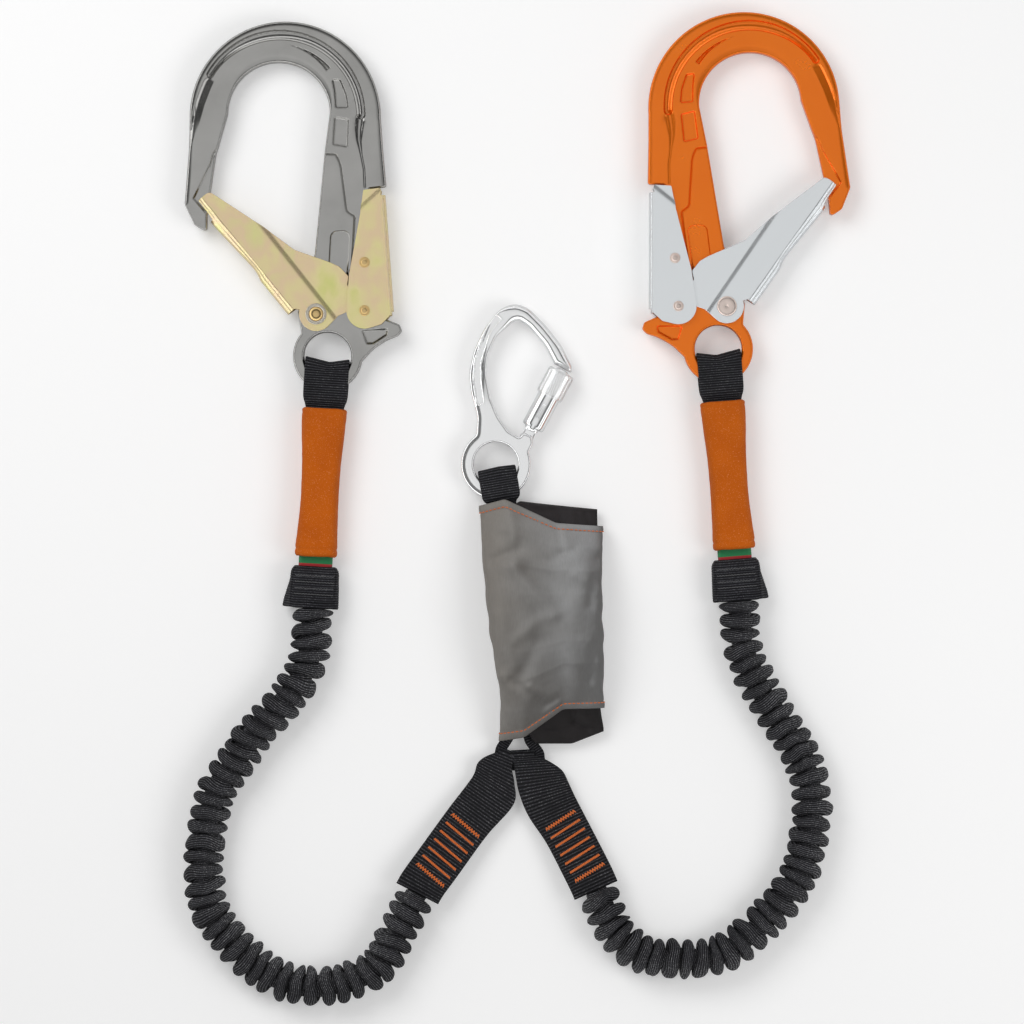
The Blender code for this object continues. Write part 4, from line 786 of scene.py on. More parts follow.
gateSheet = {"sheet": 1.5, "edge": 0.32, "level": 6.7, "rise": -1.0, "fold": ((-77.0, 98.7), (-20.1, 29.3)),
             "before": [(-69.8, 99.6, 0.0), (-72.6, 101.4, 2.6), (-75.6, 99.9, 1.0)],
             "after": arcLine(hook["gatePivot"], 10.6, 165, 318) + [(6.6, 24.8, 1.0), (12.0, 27.2, 2.0)]
             + arcLine(hook["gatePivot"], 26.4, 3, 43) + [(13.2, 49.2, 1.5), (7.5, 55.2, 3.0), (1.9, 57.8, 4.0),
                                                         (-20.3, 65.6, 8.0), (-34.5, 75.9, 0.0), (-49.3, 86.2, 0.0)],
             "crease": (1.5, 23.5), "creaseRun": (0.62, -0.785), "creaseWidth": 4.3, "lipEnd": 14.5, "lipLevel": 4.2,
             "bend": [(0.9, 6.45), (1.7, 5.9), (2.2, 5.2), (3.0, 4.7), (3.9, 4.3), (4.4, 3.6), (4.6, 2.4), (4.6, 0.0)],
             "reach": ((0.0, 0.85), (0.12, 0.95), (0.2, 1.12), (0.4, 0.86), (0.6, 0.60), (0.65, 0.64), (0.7, 0.93),
                       (1.0, 0.95)),
             "drills": [(hook["gatePivot"], hook["gateHole"])]}
leverSheet = {"sheet": 1.5, "edge": 0.32, "level": 7.8, "rise": -0.8, "fold": ((38.0, 25.0), (32.6, 99.4)),
              "before": arcLine(hook["leverPivot"], 11.2, 180, 292) + [(33.6, 19.6, 2.0)],
              "after": [(34.0, 104.0, 1.6), (22.2, 102.6, 0.8), (20.5, 88.8, 1.4), (13.4, 49.9, 8.0)],
              "crease": (21.3, 89.4), "creaseRun": (0.74, 0.67), "creaseWidth": 4.3, "lipEnd": 0.0, "lipLevel": 4.2,
              "bend": [(0.1, 7.6), (0.3, 7.1), (0.35, 5.4), (0.6, 4.9), (1.2, 4.7), (1.6, 4.0), (1.7, 2.8), (1.7, 0.0)],
              "reach": ((0.0, 1.0), (1.0, 1.0)),
              "drills": [(hook[pin], hook["leverHole"]) for pin in ("leverPivot", "leverCatch")]}

for label, s in (("Gate", gateSheet), ("Lever", leverSheet)):
    leftSheet = foldedSheet("left" + label, s, yellowZinc)
    part = "_" + label.lower()
    for side, sheet in (("left", leftSheet), ("right", copyOf(leftSheet, "right" + label, brightZinc))):
        putInPlace(sheet, hookPlace[side], side + part, metals[side], side + "_hook" + part, angle=50)
        applied(sheet, "WEIGHTED_NORMAL", weight=100, keep_sharp=True)
    print(label.lower() + "s folded,", len(leftSheet.data.polygons), "faces each")


# Rivets, pins and washers are turned

def turnedPiece(name, profile, finish, steps=56, closed=False):   # (radius, height) corners spun about Z
    pairs = [(k, (k + 1) % len(profile)) for k in range(len(profile) if closed else len(profile) - 1)]
    piece = chosen(meshOf(name, [(r, 0.0, z) for r, z in profile], [], finish, smooth=False, edges=pairs))
    bpy.ops.object.mode_set(mode="EDIT")
    bpy.ops.mesh.select_all(action="SELECT")
    bpy.ops.mesh.spin(steps=steps, angle=2 * math.pi, center=(0, 0, 0), axis=(0, 0, 1))
    bpy.ops.object.mode_set(mode="OBJECT")
    return outward(piece, merge=0.000004)


def bothEnds(half):   # the upper half of a profile and its mirror image
    return half + [(r, -z) for r, z in reversed(half)]


rivets = {"gateDome": [(0.0, 10.72), (1.0, 10.7), (2.1, 10.52), (3.1, 10.2), (3.9, 9.75), (4.35, 9.3), (4.5, 8.95),
                       (3.3, 8.9), (3.2, 8.5)],
          "gateWasher": [(3.5, 8.55), (3.5, 9.1), (4.75, 9.15), (4.95, 9.4), (5.3, 9.42), (5.5, 9.15), (5.75, 9.12),
                         (5.95, 9.3), (6.3, 9.25), (6.6, 8.95), (6.65, 8.55)],
          "gateFlat": [(0.0, 9.55), (0.55, 9.6), (0.9, 9.95), (1.2, 10.05), (3.4, 10.0), (4.9, 9.85), (5.7, 9.6),
                       (6.1, 9.2), (6.2, 8.6), (3.3, 8.55), (3.2, 8.5)],
          "small": [(0.0, 10.85), (1.0, 10.8), (1.7, 10.6), (2.1, 10.25), (2.25, 10.05), (2.5, 10.1), (2.9, 10.15),
                    (3.2, 9.95), (3.3, 9.62), (2.35, 9.6), (2.3, 9.5)]}


def rivetAt(name, profile, finish, side, centre, body, slotName, *nodes, closed=False):
    piece = turnedPiece(name, profile, finish, closed=closed)
    piece.data.transform(Matrix.Translation((centre[0] * mm, centre[1] * mm, 0.0)))
    putInPlace(piece, hookPlace[side], body, slotName, *nodes, angle=50)


for side, finish, head in (("left", brass, "gateDome"), ("right", roseZinc, "gateFlat")):
    for label, profile, centre, body, node in (("GateRivet", head, "gatePivot", "_hook", "_gate_rivet"),
                                               ("LeverRivet", "small", "leverPivot", "_hook", "_lever_rivet"),
                                               ("LeverCatchPin", "small", "leverCatch", "_lever", "_lever_catch_pin")):
        rivetAt(side + label, bothEnds(rivets[profile]), finish, side, hook[centre], side + body, metals[side],
                side + node)
for name, flip in (("leftGateWasherFront", 1), ("leftGateWasherBack", -1)):
    ring = [(r, z * flip) for r, z in rivets["gateWasher"]]
    rivetAt(name, ring, washerSteel, "left", hook["gatePivot"], "left_hook", "bright_zinc", closed=True)
print("rivets set")


# Webbing: closed bands with woven ribs across them

weave = {"thickness": 2.0, "ribLift": 0.26, "perRib": 5, "across": 14, "edge": 4, "bulge": 0.35 * 2.0 / 13,
         "wander": 0.12, "backMap": 100.0}


def wovenBand(name, stations, normal, finish, lift=1.0, pitch=1.48):
    # stations are rows of (x, y, z, half width x, y, z)
    s = weave
    dense, far = smoothCurve(stations, 10)
    run = np.linspace(0.0, far[-1], max(8, round(far[-1] / (pitch / s["perRib"]))) + 1)
    grid = readOff(run, far, dense)
    middle, half = grid[:, :3], grid[:, 3:]
    over = np.cross(half / np.linalg.norm(half, axis=1)[:, None], headings(middle))
    over /= np.linalg.norm(over, axis=1)[:, None]
    if over[0].dot(normal) < 0:
        over = -over
    shape = [(v, 1.0) for v in np.linspace(-1, 1, s["across"])]
    shape += [(1 + s["bulge"] * math.sin(a), math.cos(a)) for a in math.pi * np.arange(1, s["edge"]) / s["edge"]]
    shape += [(-v, -w) for v, w in shape]
    points, maps = [], []
    for i, along in enumerate(run):
        rib = abs(math.sin(math.pi * (along / pitch))) ** 0.7
        wander = s["wander"] * unevenness(along * 0.08, middle[i, 0] * 0.01, 4.0)
        for v, w in shape:
            high = w * (s["thickness"] / 2 - s["ribLift"] * lift * (1 - rib)) + wander * v
            points.append(middle[i] + half[i] * v + over[i] * high)
            maps.append((along, v * np.linalg.norm(half[i]) + (s["backMap"] if w < 0 else 0.0)))
    faces, uv = tubeFaces(len(run) - 1, len(shape), maps)
    for ring in (range(len(shape)), range(len(points))[:-len(shape) - 1:-1]):
        faces.append(tuple(ring))
        uv += [maps[n] for n in ring]
    return outward(meshOf(name, points, faces, finish, uv))


def stitchRow(name, ends, finish, radius, rings=5, sides=6):
    # every pair of ends gets a short thread that dips into the cloth at both ends
    thread = tubeFaces(rings - 1, sides, [(0, 0)] * rings * sides)[0]
    thread += [tuple(range(sides))[::-1], tuple(range(rings * sides))[-sides:]]
    points, faces = [], []
    for start, end, over in ends:
        start, end, over = Vector(start), Vector(end), Vector(over).normalized()
        run = end - start
        side = run.cross(over).normalized()
        faces += [tuple(len(points) + n for n in face) for face in thread]
        for i in range(rings):
            t = i / (rings - 1)
            rise = math.sin(math.pi * t)
            thick = radius * (0.55 + 0.45 * rise)
            spot = start + run * t + over * (radius * 0.9 * rise - radius * 0.5)
            for a in np.arange(sides) * 2 * math.pi / sides:
                points.append(spot + (side * math.cos(a) + over * math.sin(a)) * thick)
    return outward(meshOf(name, points, faces, finish))


# Loops through the eyes: the front half from inside the grip up to the bend, as (distance, level, half width)
armTurns = {"left": -3.4, "right": 4.6}
armPlace = {"left": placed("left", armTurns["left"]), "right": placed("right", armTurns["right"], "right"),
            "top": placed("carabiner", 9.6)}
hookLoop = {"notch": 2.5, "lift": 1.2,
            "front": [(152.0, 1.15, 8.6), (47.5, 1.15, 8.6), (32.0, 4.4, 11.2), (27.0, 6.3, 12.6), (22.2, 6.9, 13.0),
                      (12.0, 6.9, 13.0), (6.2, 6.8, 13.0), (3.9, 5.4, 13.0), (3.1, 3.0, 13.0), (3.0, 0.0, 13.0)]}
topLoop = {"notch": -0.7, "lift": 0.35,
           "front": [(52.0, 1.15, 8.2), (30.8, 1.15, 8.2), (24.2, 2.8, 8.4), (20.8, 6.0, 11.0), (16.0, 6.6, 11.3),
                     (10.0, 6.6, 11.3), (6.0, 6.5, 11.3), (3.8, 5.2, 11.3), (3.1, 2.8, 11.3), (3.0, 0.0, 11.3)]}

for name, s, arm, node in (("leftHookLoop", hookLoop, "left", "left_hook_loop"),
                           ("rightHookLoop", hookLoop, "right", "right_hook_loop"),
                           ("topLoop", topLoop, "top", "absorber_top_loop")):
    half = s["front"]
    whole = [(y, -z, w) for y, z, w in half] + half[-2::-1]
    loop = wovenBand(name, [(0.0, -y, z, w, 0.0, 0.0) for y, z, w in whole], (0, 0, -1), blackWebbing, s["lift"])
    for corner in loop.data.vertices:   # the fold at the eye rises at its corners and dips off centre
        share = float(smoothStep((half[-1][0] + 9.0 + corner.co.y / mm) / 9.0))
        corner.co.y += share * s["notch"] * (abs(corner.co.x / mm / half[-1][2] - 0.12) - 0.62) * mm
    putInPlace(loop, armPlace[arm], "lanyard", "black_webbing", node, angle=60)
print("loops woven")


# Sleeves of foam and cloth: rings of (distance, half width, half height), the wall grown inwards

def sleeve(name, s, finish, shapeOf, around=96, power=3.5):
    rows, wall = s["rows"], s["wall"]
    dense = smoothCurve(s["rings"], 10)[0]
    dense = dense[np.argsort(dense[:, 0])]
    goals = np.linspace(s["rings"][0][0], s["rings"][-1][0], rows + 1)
    wide, high = readOff(goals, dense[:, 0], dense[:, 1:]).T
    outer, inner, maps = [], [], []
    for i, y in enumerate(goals):
        lip = min(1.0, (i + 0.15) / 2.5, (rows - i + 0.15) / 2.5)
        for a in 2 * math.pi * (np.arange(around) + 0.5) / around:
            c, v = math.cos(a), math.sin(a)
            ux, uz = math.copysign(abs(c) ** (2 / power), c), math.copysign(abs(v) ** (2 / power), v)
            off, slip = shapeOf(i / rows, a, y)
            off -= wall * 0.42 * (1 - math.sqrt(max(0.0, 1 - (1 - lip) ** 2)))
            outer.append((ux * (wide[i] + off), -(y + slip), uz * (high[i] + off)))
            inner.append((ux * (wide[i] - wall), -(y + slip), uz * (high[i] - wall)))
            maps.append((y - goals[0], a * wide[i]))
    count = len(outer)
    faces, uv = tubeFaces(rows, around, maps, [(0.0, 2 * math.pi * w) for w in wide])
    faces += [tuple(n + count for n in face[::-1]) for face in faces]
    uv += [pair for n in range(0, len(uv), 4) for pair in uv[n:n + 4][::-1]]
    for start, turn in ((0, 1), (rows * around, -1)):
        for j in range(around):
            a, b = start + j, start + (j + 1) % around
            faces.append((a, a + count, b + count, b)[::turn])
            uv += [maps[n] for n in (a, a, b, b)[::turn]]
    return outward(meshOf(name, outer + inner, faces, finish, uv))


grip = {"wall": 1.8, "rows": 120, "length": 92.0, "crimp": 4.6,
        "rings": [(32.5, 13.2, 10.3), (35.5, 13.9, 11.0), (60.0, 12.5, 10.8), (83.0, 11.6, 10.56), (106.0, 12.3, 10.8),
                  (121.5, 13.2, 11.0), (124.5, 12.5, 10.1)]}
label = {"wall": 0.7, "rows": 24,
         "rings": [(123.0, 10.5, 4.0), (126.0, 10.5, 4.05), (129.0, 10.5, 4.05), (132.0, 10.4, 4.0)]}
cuff = {"wall": 2.0, "rows": 150, "zigzags": (136.2, 140.0, 144.0, 147.6), "stitches": 26, "stitchStep": 0.92,
        "rings": [(130.5, 12.9, 6.4), (134.2, 14.9, 9.1), (143.0, 15.4, 9.4), (150.0, 15.7, 9.5), (156.5, 15.8, 9.5)]}


def gripShape(share, angle, y):
    c, v, run = math.cos(angle), math.sin(angle), share * grip["length"]
    off = -0.45 * math.exp(-((grip["length"] - run - grip["crimp"]) / 0.9) ** 2)
    off -= 0.22 * math.exp(-((run - 3.0) / 0.8) ** 2)
    off += 0.32 * unevenness(c * 1.4, v * 1.4, y * 0.05) + 0.10 * unevenness(c * 4.0, v * 4.0, y * 0.30)
    return off, 0.5 * unevenness(c, v, 9.0 if share > 0.5 else 2.0) * (share > 0.9 or share < 0.1)


def cuffShape(share, angle, y):
    c, v = math.cos(angle), math.sin(angle)
    rib = abs(math.sin(math.pi * y / 1.5)) ** 0.7
    off = -0.22 * (1 - rib) + 0.35 * unevenness(c * 1.5, v * 1.5, y * 0.12)
    if v > 0.55:   # the front layer of webbing laps over the one behind it
        off += 0.75 * float(smoothStep((0.86 - share) / 0.03)) * float(smoothStep((v - 0.6) / 0.1)) - 0.5
    return off, 0.9 * unevenness(c * 1.2, v * 1.2, 5.0) * (0.2 + 0.8 * share)


for side in ("left", "right"):
    tube = sleeve(side + "Grip", grip, orangeGrip, gripShape)
    putInPlace(tube, armPlace[side], "lanyard", "orange_grip", side + "_grip", angle=60)
    band = sleeve(side + "LabelBand", label, greenLabel, lambda share, angle, y: (0.0, 0.0))
    putInPlace(band, armPlace[side], "lanyard", "green_label", side + "_label_band", angle=60)
    cloth = sleeve(side + "Cuff", cuff, cuffWebbing, cuffShape)
    for corner in cloth.data.vertices:   # the layer behind flares out to one side
        x, y, z = corner.co / mm
        back = float(smoothStep((3.0 - z) / 5.0)) * float(smoothStep(-x / 9.0))
        front = float(smoothStep(x / 9.0)) * float(smoothStep((z - 4) / 4))
        corner.co.x -= (3.4 * back + 0.8 * front) * float(smoothStep((-y - 136.0) / 20.0)) * mm
    ends = []
    for y in cuff["zigzags"]:
        for k in range(cuff["stitches"]):
            x, slant = -11.6 + cuff["stitchStep"] * k, 0.5 * (k % 2)
            high = 9.9 - 0.1 * (x / 8) ** 4
            ends.append(((x, -y - slant, high), (x + 0.86, -y + slant - 0.5, high), (0, 0, 1)))
    zigzag = stitchRow(side + "CuffStitches", ends, greyThread, 0.26)
    putInPlace(cloth, armPlace[side], "lanyard", "black_webbing", side + "_cuff", angle=60)
    putInPlace(zigzag, armPlace[side], "lanyard", "black_webbing")
print("grips, labels and cuffs made")


# Straps below the legs: two layers, open at the fold where the lower loop runs through.
# Rows are (x, y, level, half width, bearing); the tacks are the corners of the sewn area in the picture
settled = Matrix.Translation(centring)
straps = {"open": 2.6, "openRows": 3, "sewn": 1.15, "pitch": 1.95, "tackRows": 7, "thread": 0.42, "above": 0.12,
          "left": {"turn": -1, "tacks": ((452, 814), (479, 837), (417, 863), (444, 886)), "rows": [
              (-6.4, -182.4, 7.0, 5.2, 22), (-11.2, -187.6, 7.0, 8.8, 24), (-12.8, -194.2, 7.0, 12.4, 28),
              (-14.8, -205.0, 7.0, 14.6, 33), (-30.4, -224.2, 9.0, 13.8, 36), (-48.2, -248.6, 12.0, 13.8, 35),
              (-57.6, -261.4, 13.6, 13.8, 31), (-61.5, -268.0, 13.6, 13.8, 27)]},
          "right": {"turn": 1, "tacks": ((546, 830), (575, 811), (575, 881), (604, 863)), "rows": [
              (3.8, -182.8, 7.0, 7.2, 3), (9.2, -187.2, 7.0, 10.4, 4), (13.8, -193.4, 7.0, 13.8, 5),
              (17.0, -203.0, 7.0, 14.9, 13), (21.9, -214.4, 7.0, 14.9, 22), (31.8, -231.0, 9.0, 13.8, 26),
              (42.2, -251.0, 12.0, 13.8, 26), (46.6, -259.8, 13.6, 13.8, 25), (49.3, -266.0, 13.6, 13.8, 24)]}}

for side in ("left", "right"):
    s = straps[side]
    lower, upper = [], []
    for k, (x, y, level, half, bearing) in enumerate(s["rows"]):
        a = s["turn"] * math.radians(bearing)
        apart = straps["open"] if k < straps["openRows"] else straps["sewn"]
        for layer, way in ((lower, -1), (upper, 1)):
            layer.append((x, y, level + way * apart, half * math.cos(a), half * math.sin(a), 0.0))
    x, y, level = s["rows"][0][:3]
    bend = [(x, y + straps["open"] * math.cos(t), level + straps["open"] * math.sin(t), *lower[0][3:])
            for t in (-0.95, -0.5, 0.0, 0.5, 0.95)]
    strap = wovenBand(side + "Strap", lower[::-1] + bend + upper, (0, 0, -1), strapWebbing, 1.1, straps["pitch"])
    putInPlace(strap, settled, "lanyard", "black_webbing", side + "_strap", angle=180)
    a, b, c, d = (Vector(fromPicture(*p)) for p in s["tacks"])
    surface = smoothCurve(upper, 10)[0]
    ends = []
    for row in range(straps["tackRows"]):
        t = row / (straps["tackRows"] - 1)
        start, stop = a.lerp(c, t), b.lerp(d, t)
        run = stop - start
        count, wide = (24, 1.25) if t in (0, 1) else (40, 0.8)   # wider zigzags at both ends
        tilt = Vector((-run.y, run.x)).normalized() * wide
        for k in range(count):
            way = 1 if k % 2 else -1
            pair = []
            for spot in (start + run * (k / count) + tilt * way, start + run * ((k + 1.0) / count) - tilt * way):
                near = np.hypot(surface[:, 0] - spot.x, surface[:, 1] - spot.y).argmin()
                pair.append((spot.x, spot.y, surface[near, 2] + weave["thickness"] / 2 + straps["above"]))
            ends.append((*pair, (0, 0, 1)))
    tacks = stitchRow(side + "BarTacks", ends, orangeThread, straps["thread"])
    putInPlace(tacks, settled, "lanyard", "black_webbing", angle=180)
print("straps sewn")


# Carabiner: forged body, gate rod, twist sleeve and knurled lock ring, in the frame of its eye
carabiner = {"half": 5.2, "eye": 13.8, "ring": 21.8, "pivot": (19.0, 15.9), "gateLength": 48.3, "noseGap": 0.6,
             "panelDepth": 0.55, "fork": 7.0, "forkHalf": 3.3, "plateEdge": (1.1, 1.0), "barEdge": (4.6, 4.1),
             "eyeEdge": (1.5, 1.3), "chamfer": (2.3, 0.33), "sleeve": 7.2, "knurl": 36, "knurlPitch": 1.5,
             "knurlRoot": 8.28, "knurlHeight": 0.44}
carabinerPlace = placed("carabiner", 0.0)
gateWay = Vector((22.6, 42.5, 0.0)).normalized()
alongGate = Matrix((gateWay.cross(up), -up, gateWay)).transposed().to_4x4()
alongGate.translation = Vector((*carabiner["pivot"], 0.0)) * mm
noseFace = Vector(carabiner["pivot"]) + gateWay.xy * (carabiner["gateLength"] + carabiner["noseGap"])


def besideNose(corners):
    return [(noseFace.x + corner[0], noseFace.y + corner[1], *corner[2:]) for corner in corners]


barLine = roundedLine(
    [(-17.0, 8.0), (-12.2, 19.0, 6.0), (-11.6, 30.0, 20.0), (-15.4, 43.7, 30.0), (-16.9, 56.0, 30.0)]
    + besideNose([(-55.9, 10.9, 30.0), (-49.3, 24.9, 20.0), (-40.5, 36.3, 14.0), (-31.1, 41.3, 12.0),
                  (-21.3, 37.7, 14.0), (-10.7, 26.9, 30.0), (-1.1, 14.5, 30.0), (5.5, 1.5, 3.0),
                  (5.1, -2.7, 0.8), (-5.7, 3.0, 0.8), (-11.9, 14.7, 20.0), (-21.7, 26.1, 10.0),
                  (-28.7, 30.9, 4.0), (-41.3, 20.7, 12.0)])
    + [(-5.2, 67.1, 20.0), (-6.0, 56.0, 20.0), (-3.6, 42.0, 20.0), (1.4, 29.6, 20.0), (10.4, 16.8, 4.0),
       (14.0, 16.4, 1.0), (17.4, 19.6, 2.0), (22.4, 17.6, 2.0), (23.2, 12.6, 2.0), (19.4, 5.2, 3.0)])
barLine = [tuple(p) for p in evenly(barLine, 0.4) if math.hypot(*p) > carabiner["ring"] + 0.05]
first, last = (math.degrees(math.atan2(y, x)) for x, y in (barLine[0], barLine[-1]))
ringLine = arcLine((0.0, 0.0), carabiner["ring"], last, first - 360)
carabinerLine = evenly(barLine + ringLine[1:-1], 0.6, True)[::-1]
carabinerEye = evenly(arcLine((0.0, 0.0), carabiner["eye"], 0, 357), 0.6, True)
carabinerPanel = evenly(roundedLine(
    [(-9.2, 51.0, 20.0), (-7.4, 38.2, 0.8), (-11.2, 36.0, 0.8), (-13.7, 51.8, 20.0), (-12.9, 63.6, 20.0)]
    + besideNose([(-48.0, 25.2, 20.0), (-41.6, 33.6, 0.8), (-38.4, 31.0, 0.8), (-45.6, 22.8, 20.0)])
    + [(-9.6, 62.4, 20.0)], 0.3), 0.45, True)


def carabinerRelief(spots):
    s = carabiner
    x, y = spots.T
    bar = smoothStep((x + 1.0) / 12.0) * smoothStep((y - 44.0) / 12.0)   # the crown and nose are nearly round
    width, fall = (plate + (rod - plate) * bar for plate, rod in zip(s["plateEdge"], s["barEdge"]))
    away = distanceTo(spots, carabinerLine, True)
    z = s["half"] - roundOff(away, width, fall) - roundOff(np.hypot(x, y) - s["eye"], *s["eyeEdge"])
    wide = s["chamfer"][0] * (0.65 + 0.8 * smoothStep((-x - 2.0) / 6.0))   # a long bevel, widest along the spine
    z -= s["chamfer"][1] * wide * (1 - bar) * bevel(1 - away / wide, 0.01, 0.02)
    near, inside = depthIn(spots, carabinerPanel)
    z[near] -= s["panelDepth"] * smoothStep((inside + 0.15) / 0.55) - 0.14 * np.exp(-((inside + 0.35) / 0.3) ** 2)
    return np.maximum(z, 0.3)


rows = [rowsBeside(carabinerLine, (0.07, 0.18, 0.35, 0.6, 0.95, 1.4, 1.9, 2.4, 3.0, 3.7, 4.5), True),
        rowsBeside(carabinerEye, (-0.08, -0.2, -0.42, -0.75, -1.15, -1.6, -1.95), True),
        rowsBeside(carabinerPanel, (-0.7, -0.45, -0.25, -0.1, 0.05, 0.2, 0.4, 0.7), True)]
forging = forgedPlate("carabinerForging", carabinerLine, [carabinerEye], np.vstack(rows), carabinerRelief, aluminium)
applied(forging, "TRIANGULATE")
drilled(forging, carabiner["pivot"], carabiner["fork"], 2 * carabiner["forkHalf"], 48)
putInPlace(forging, carabinerPlace, "carabiner", "polished_aluminium", "carabiner_body")


def block(size, place, edge, segments):   # a box with rounded edges, to join or to cut with
    bpy.ops.object.select_all(action="DESELECT")
    bpy.ops.mesh.primitive_cube_add(size=1.0, location=Vector(place) * mm)
    made = bpy.context.object
    made.data.transform(Matrix.Diagonal((*(n * mm for n in size), 1.0)))
    return applied(made, "BEVEL", width=edge * mm, segments=segments)


rod = turnedPiece("carabinerGateRod", [(0.0, 48.3), (2.9, 48.3), (3.9, 47.95), (4.5, 47.3), (4.7, 46.3), (4.7, 7.4),
                                       (4.3, 6.2), (3.4, 5.2), (0.0, 4.4)], aluminium, 48)
knuckle = bothEnds([(0.0, 3.15), (3.6, 3.15), (4.15, 3.0), (4.4, 2.6)])
knuckle = turnedPiece("carabinerGateKnuckle", knuckle, aluminium, 48)
knuckle.data.transform(Matrix.Rotation(math.radians(90), 4, "X"))
combined(rod, "UNION", block((7.6, 6.3, 6.6), (0, 0, 4.4), 0.9, 3))
combined(rod, "UNION", knuckle)
putInPlace(rod, carabinerPlace @ alongGate, "carabiner_gate", "polished_aluminium", "carabiner_gate")

twist = turnedPiece("carabinerTwistSleeve",
                    [(5.1, 46.5), (7.2, 46.5), (7.2, 29.0), (7.2, 26.0), (7.2, 20.0), (7.2, 12.0), (7.2, 9.4),
                     (7.12, 8.9), (6.9, 8.2), (6.4, 7.65), (5.9, 7.5), (5.1, 7.5)], aluminium, 72, closed=True)
combined(twist, "DIFFERENCE", block((2.8, 4.0, 10.0), (0, -carabiner["sleeve"], 19.0), 1.2, 4))
for turn, reach in ((0, 2.4), (118, 1.9), (236, 1.9)):   # notches in the lower rim
    bpy.ops.mesh.primitive_cylinder_add(vertices=32, radius=reach * mm, depth=5.0 * mm, rotation=(math.radians(90), 0, 0))
    notch = bpy.context.object
    start = Matrix.Translation((0, -carabiner["sleeve"] * mm, 7.5 * mm))
    notch.data.transform(Matrix.Rotation(math.radians(turn), 4, "Z") @ start @ notch.matrix_basis)
    notch.matrix_basis = Matrix()
    combined(twist, "DIFFERENCE", notch)
putInPlace(twist, carabinerPlace @ alongGate, "carabiner_sleeve", "polished_aluminium", "carabiner_sleeve", angle=35)

collar = [(7.5, 29.5), (8.0, 29.5), (8.35, 29.7), (8.55, 30.1), (8.6, 30.7)]
collar += [(8.6, 31.0 + 0.25 * n) for n in range(58)]
collar += [(8.6, 45.7), (8.5, 46.2), (8.2, 46.7), (7.8, 47.0), (7.5, 47.0)]
lock = turnedPiece("carabinerLockRing", collar, aluminium, 8 * carabiner["knurl"], closed=True)
for corner in lock.data.vertices:   # crossing grooves leave small pyramids
    x, y, z = corner.co / mm
    if math.hypot(x, y) > 8.4 and 30.9 < z < 45.4:
        turn = math.atan2(y, x) / (2 * math.pi) * carabiner["knurl"]
        crossing = [1 - abs(2 * ((turn + way * z / carabiner["knurlPitch"]) % 1.0) - 1) for way in (-1, 1)]
        grow = (carabiner["knurlRoot"] + carabiner["knurlHeight"] * min(1.0, 1.35 * min(crossing))) / math.hypot(x, y)
        corner.co.x *= grow
        corner.co.y *= grow
putInPlace(lock, carabinerPlace @ alongGate, "carabiner_lock_ring", "polished_aluminium", "carabiner_lock_ring",
           angle=42)

hinge = bothEnds([(0.0, 5.16), (0.9, 5.17), (1.35, 5.12), (1.58, 4.9)])
hinge = turnedPiece("carabinerHingePin", hinge, washerSteel, 40)
hinge.data.transform(Matrix.Translation(alongGate.translation))
putInPlace(hinge, carabinerPlace, "carabiner", "spring_steel", "carabiner_gate_pin")
print("carabiner forged and fitted")


# The narrow loop that joins the absorber to both straps
lowerLoop = {"level": 7.0, "half": 3.2, "turn": 3.4,
             "line": [(-1.0, -141.0), (-1.6, -158.0), (-5.0, -171.5), (-9.6, -178.6), (-11.6, -188.8), (14.6, -188.8),
                      (14.0, -181.6), (8.4, -173.6), (6.2, -166.0), (6.2, -141.0)]}

corners = lowerLoop["line"]
line = evenly(roundedLine([corners[0], *[(*p, lowerLoop["turn"]) for p in corners[1:-1]], corners[-1]]), 1.2)
stations = [(x, y, lowerLoop["level"], dy * lowerLoop["half"], -dx * lowerLoop["half"], 0.0)
            for (x, y), (dx, dy) in zip(line, headings(line))]
joining = wovenBand("absorberLowerLoop", stations, (0, 0, 1), blackWebbing, 0.6)
putInPlace(joining, settled, "lanyard", "black_webbing", "absorber_lower_loop", angle=180)


# Absorber: two cloth socks, the grey cover outside and the dark bag inside it
absorber = {"height": 38.0, "power": 3.5, "crown": (0.55, 0.76, 0.94, 1.0, 1.0, 1.0, 0.94, 0.76, 0.50),
            "crownEnds": (0.21, 0.26), "foldHeight": 0.85, "foldWidth": 1.1,
            "left": [(-173.6, -10.8), (-145.7, -9.2), (-122.5, -14.2), (-73.8, -19.8), (-27.0, -22.8)],
            "right": [(-153.0, 53.9), (-100.0, 53.2), (-40.0, 52.2)],
            "bottom": [(-10.8, -173.6), (4.6, -171.1), (28.8, -153.5), (53.9, -153.0)],
            "top": [(-22.8, -27.8), (-7.1, -23.6), (24.5, -38.4), (52.2, -40.3)],
            "bagRight": [(-170.0, 57.2), (-153.5, 53.9), (-100.0, 53.2), (-28.0, 52.2)],
            "bagBottom": [(-7.0, -152.0), (6.0, -166.0), (11.5, -175.5), (34.4, -175.7), (56.0, -167.0)],
            "bagTop": [(-18.0, -33.0), (-3.0, -30.0), (1.3, -24.8), (51.0, -30.0)], "bagInset": 2.1, "capRows": 6,
            "wall": 1.2, "span": 125.0, "hem": 4.6, "hemLift": 0.7, "stitchIn": 3.9, "stitchPitch": 2.7,
            "stitchLength": 1.95}
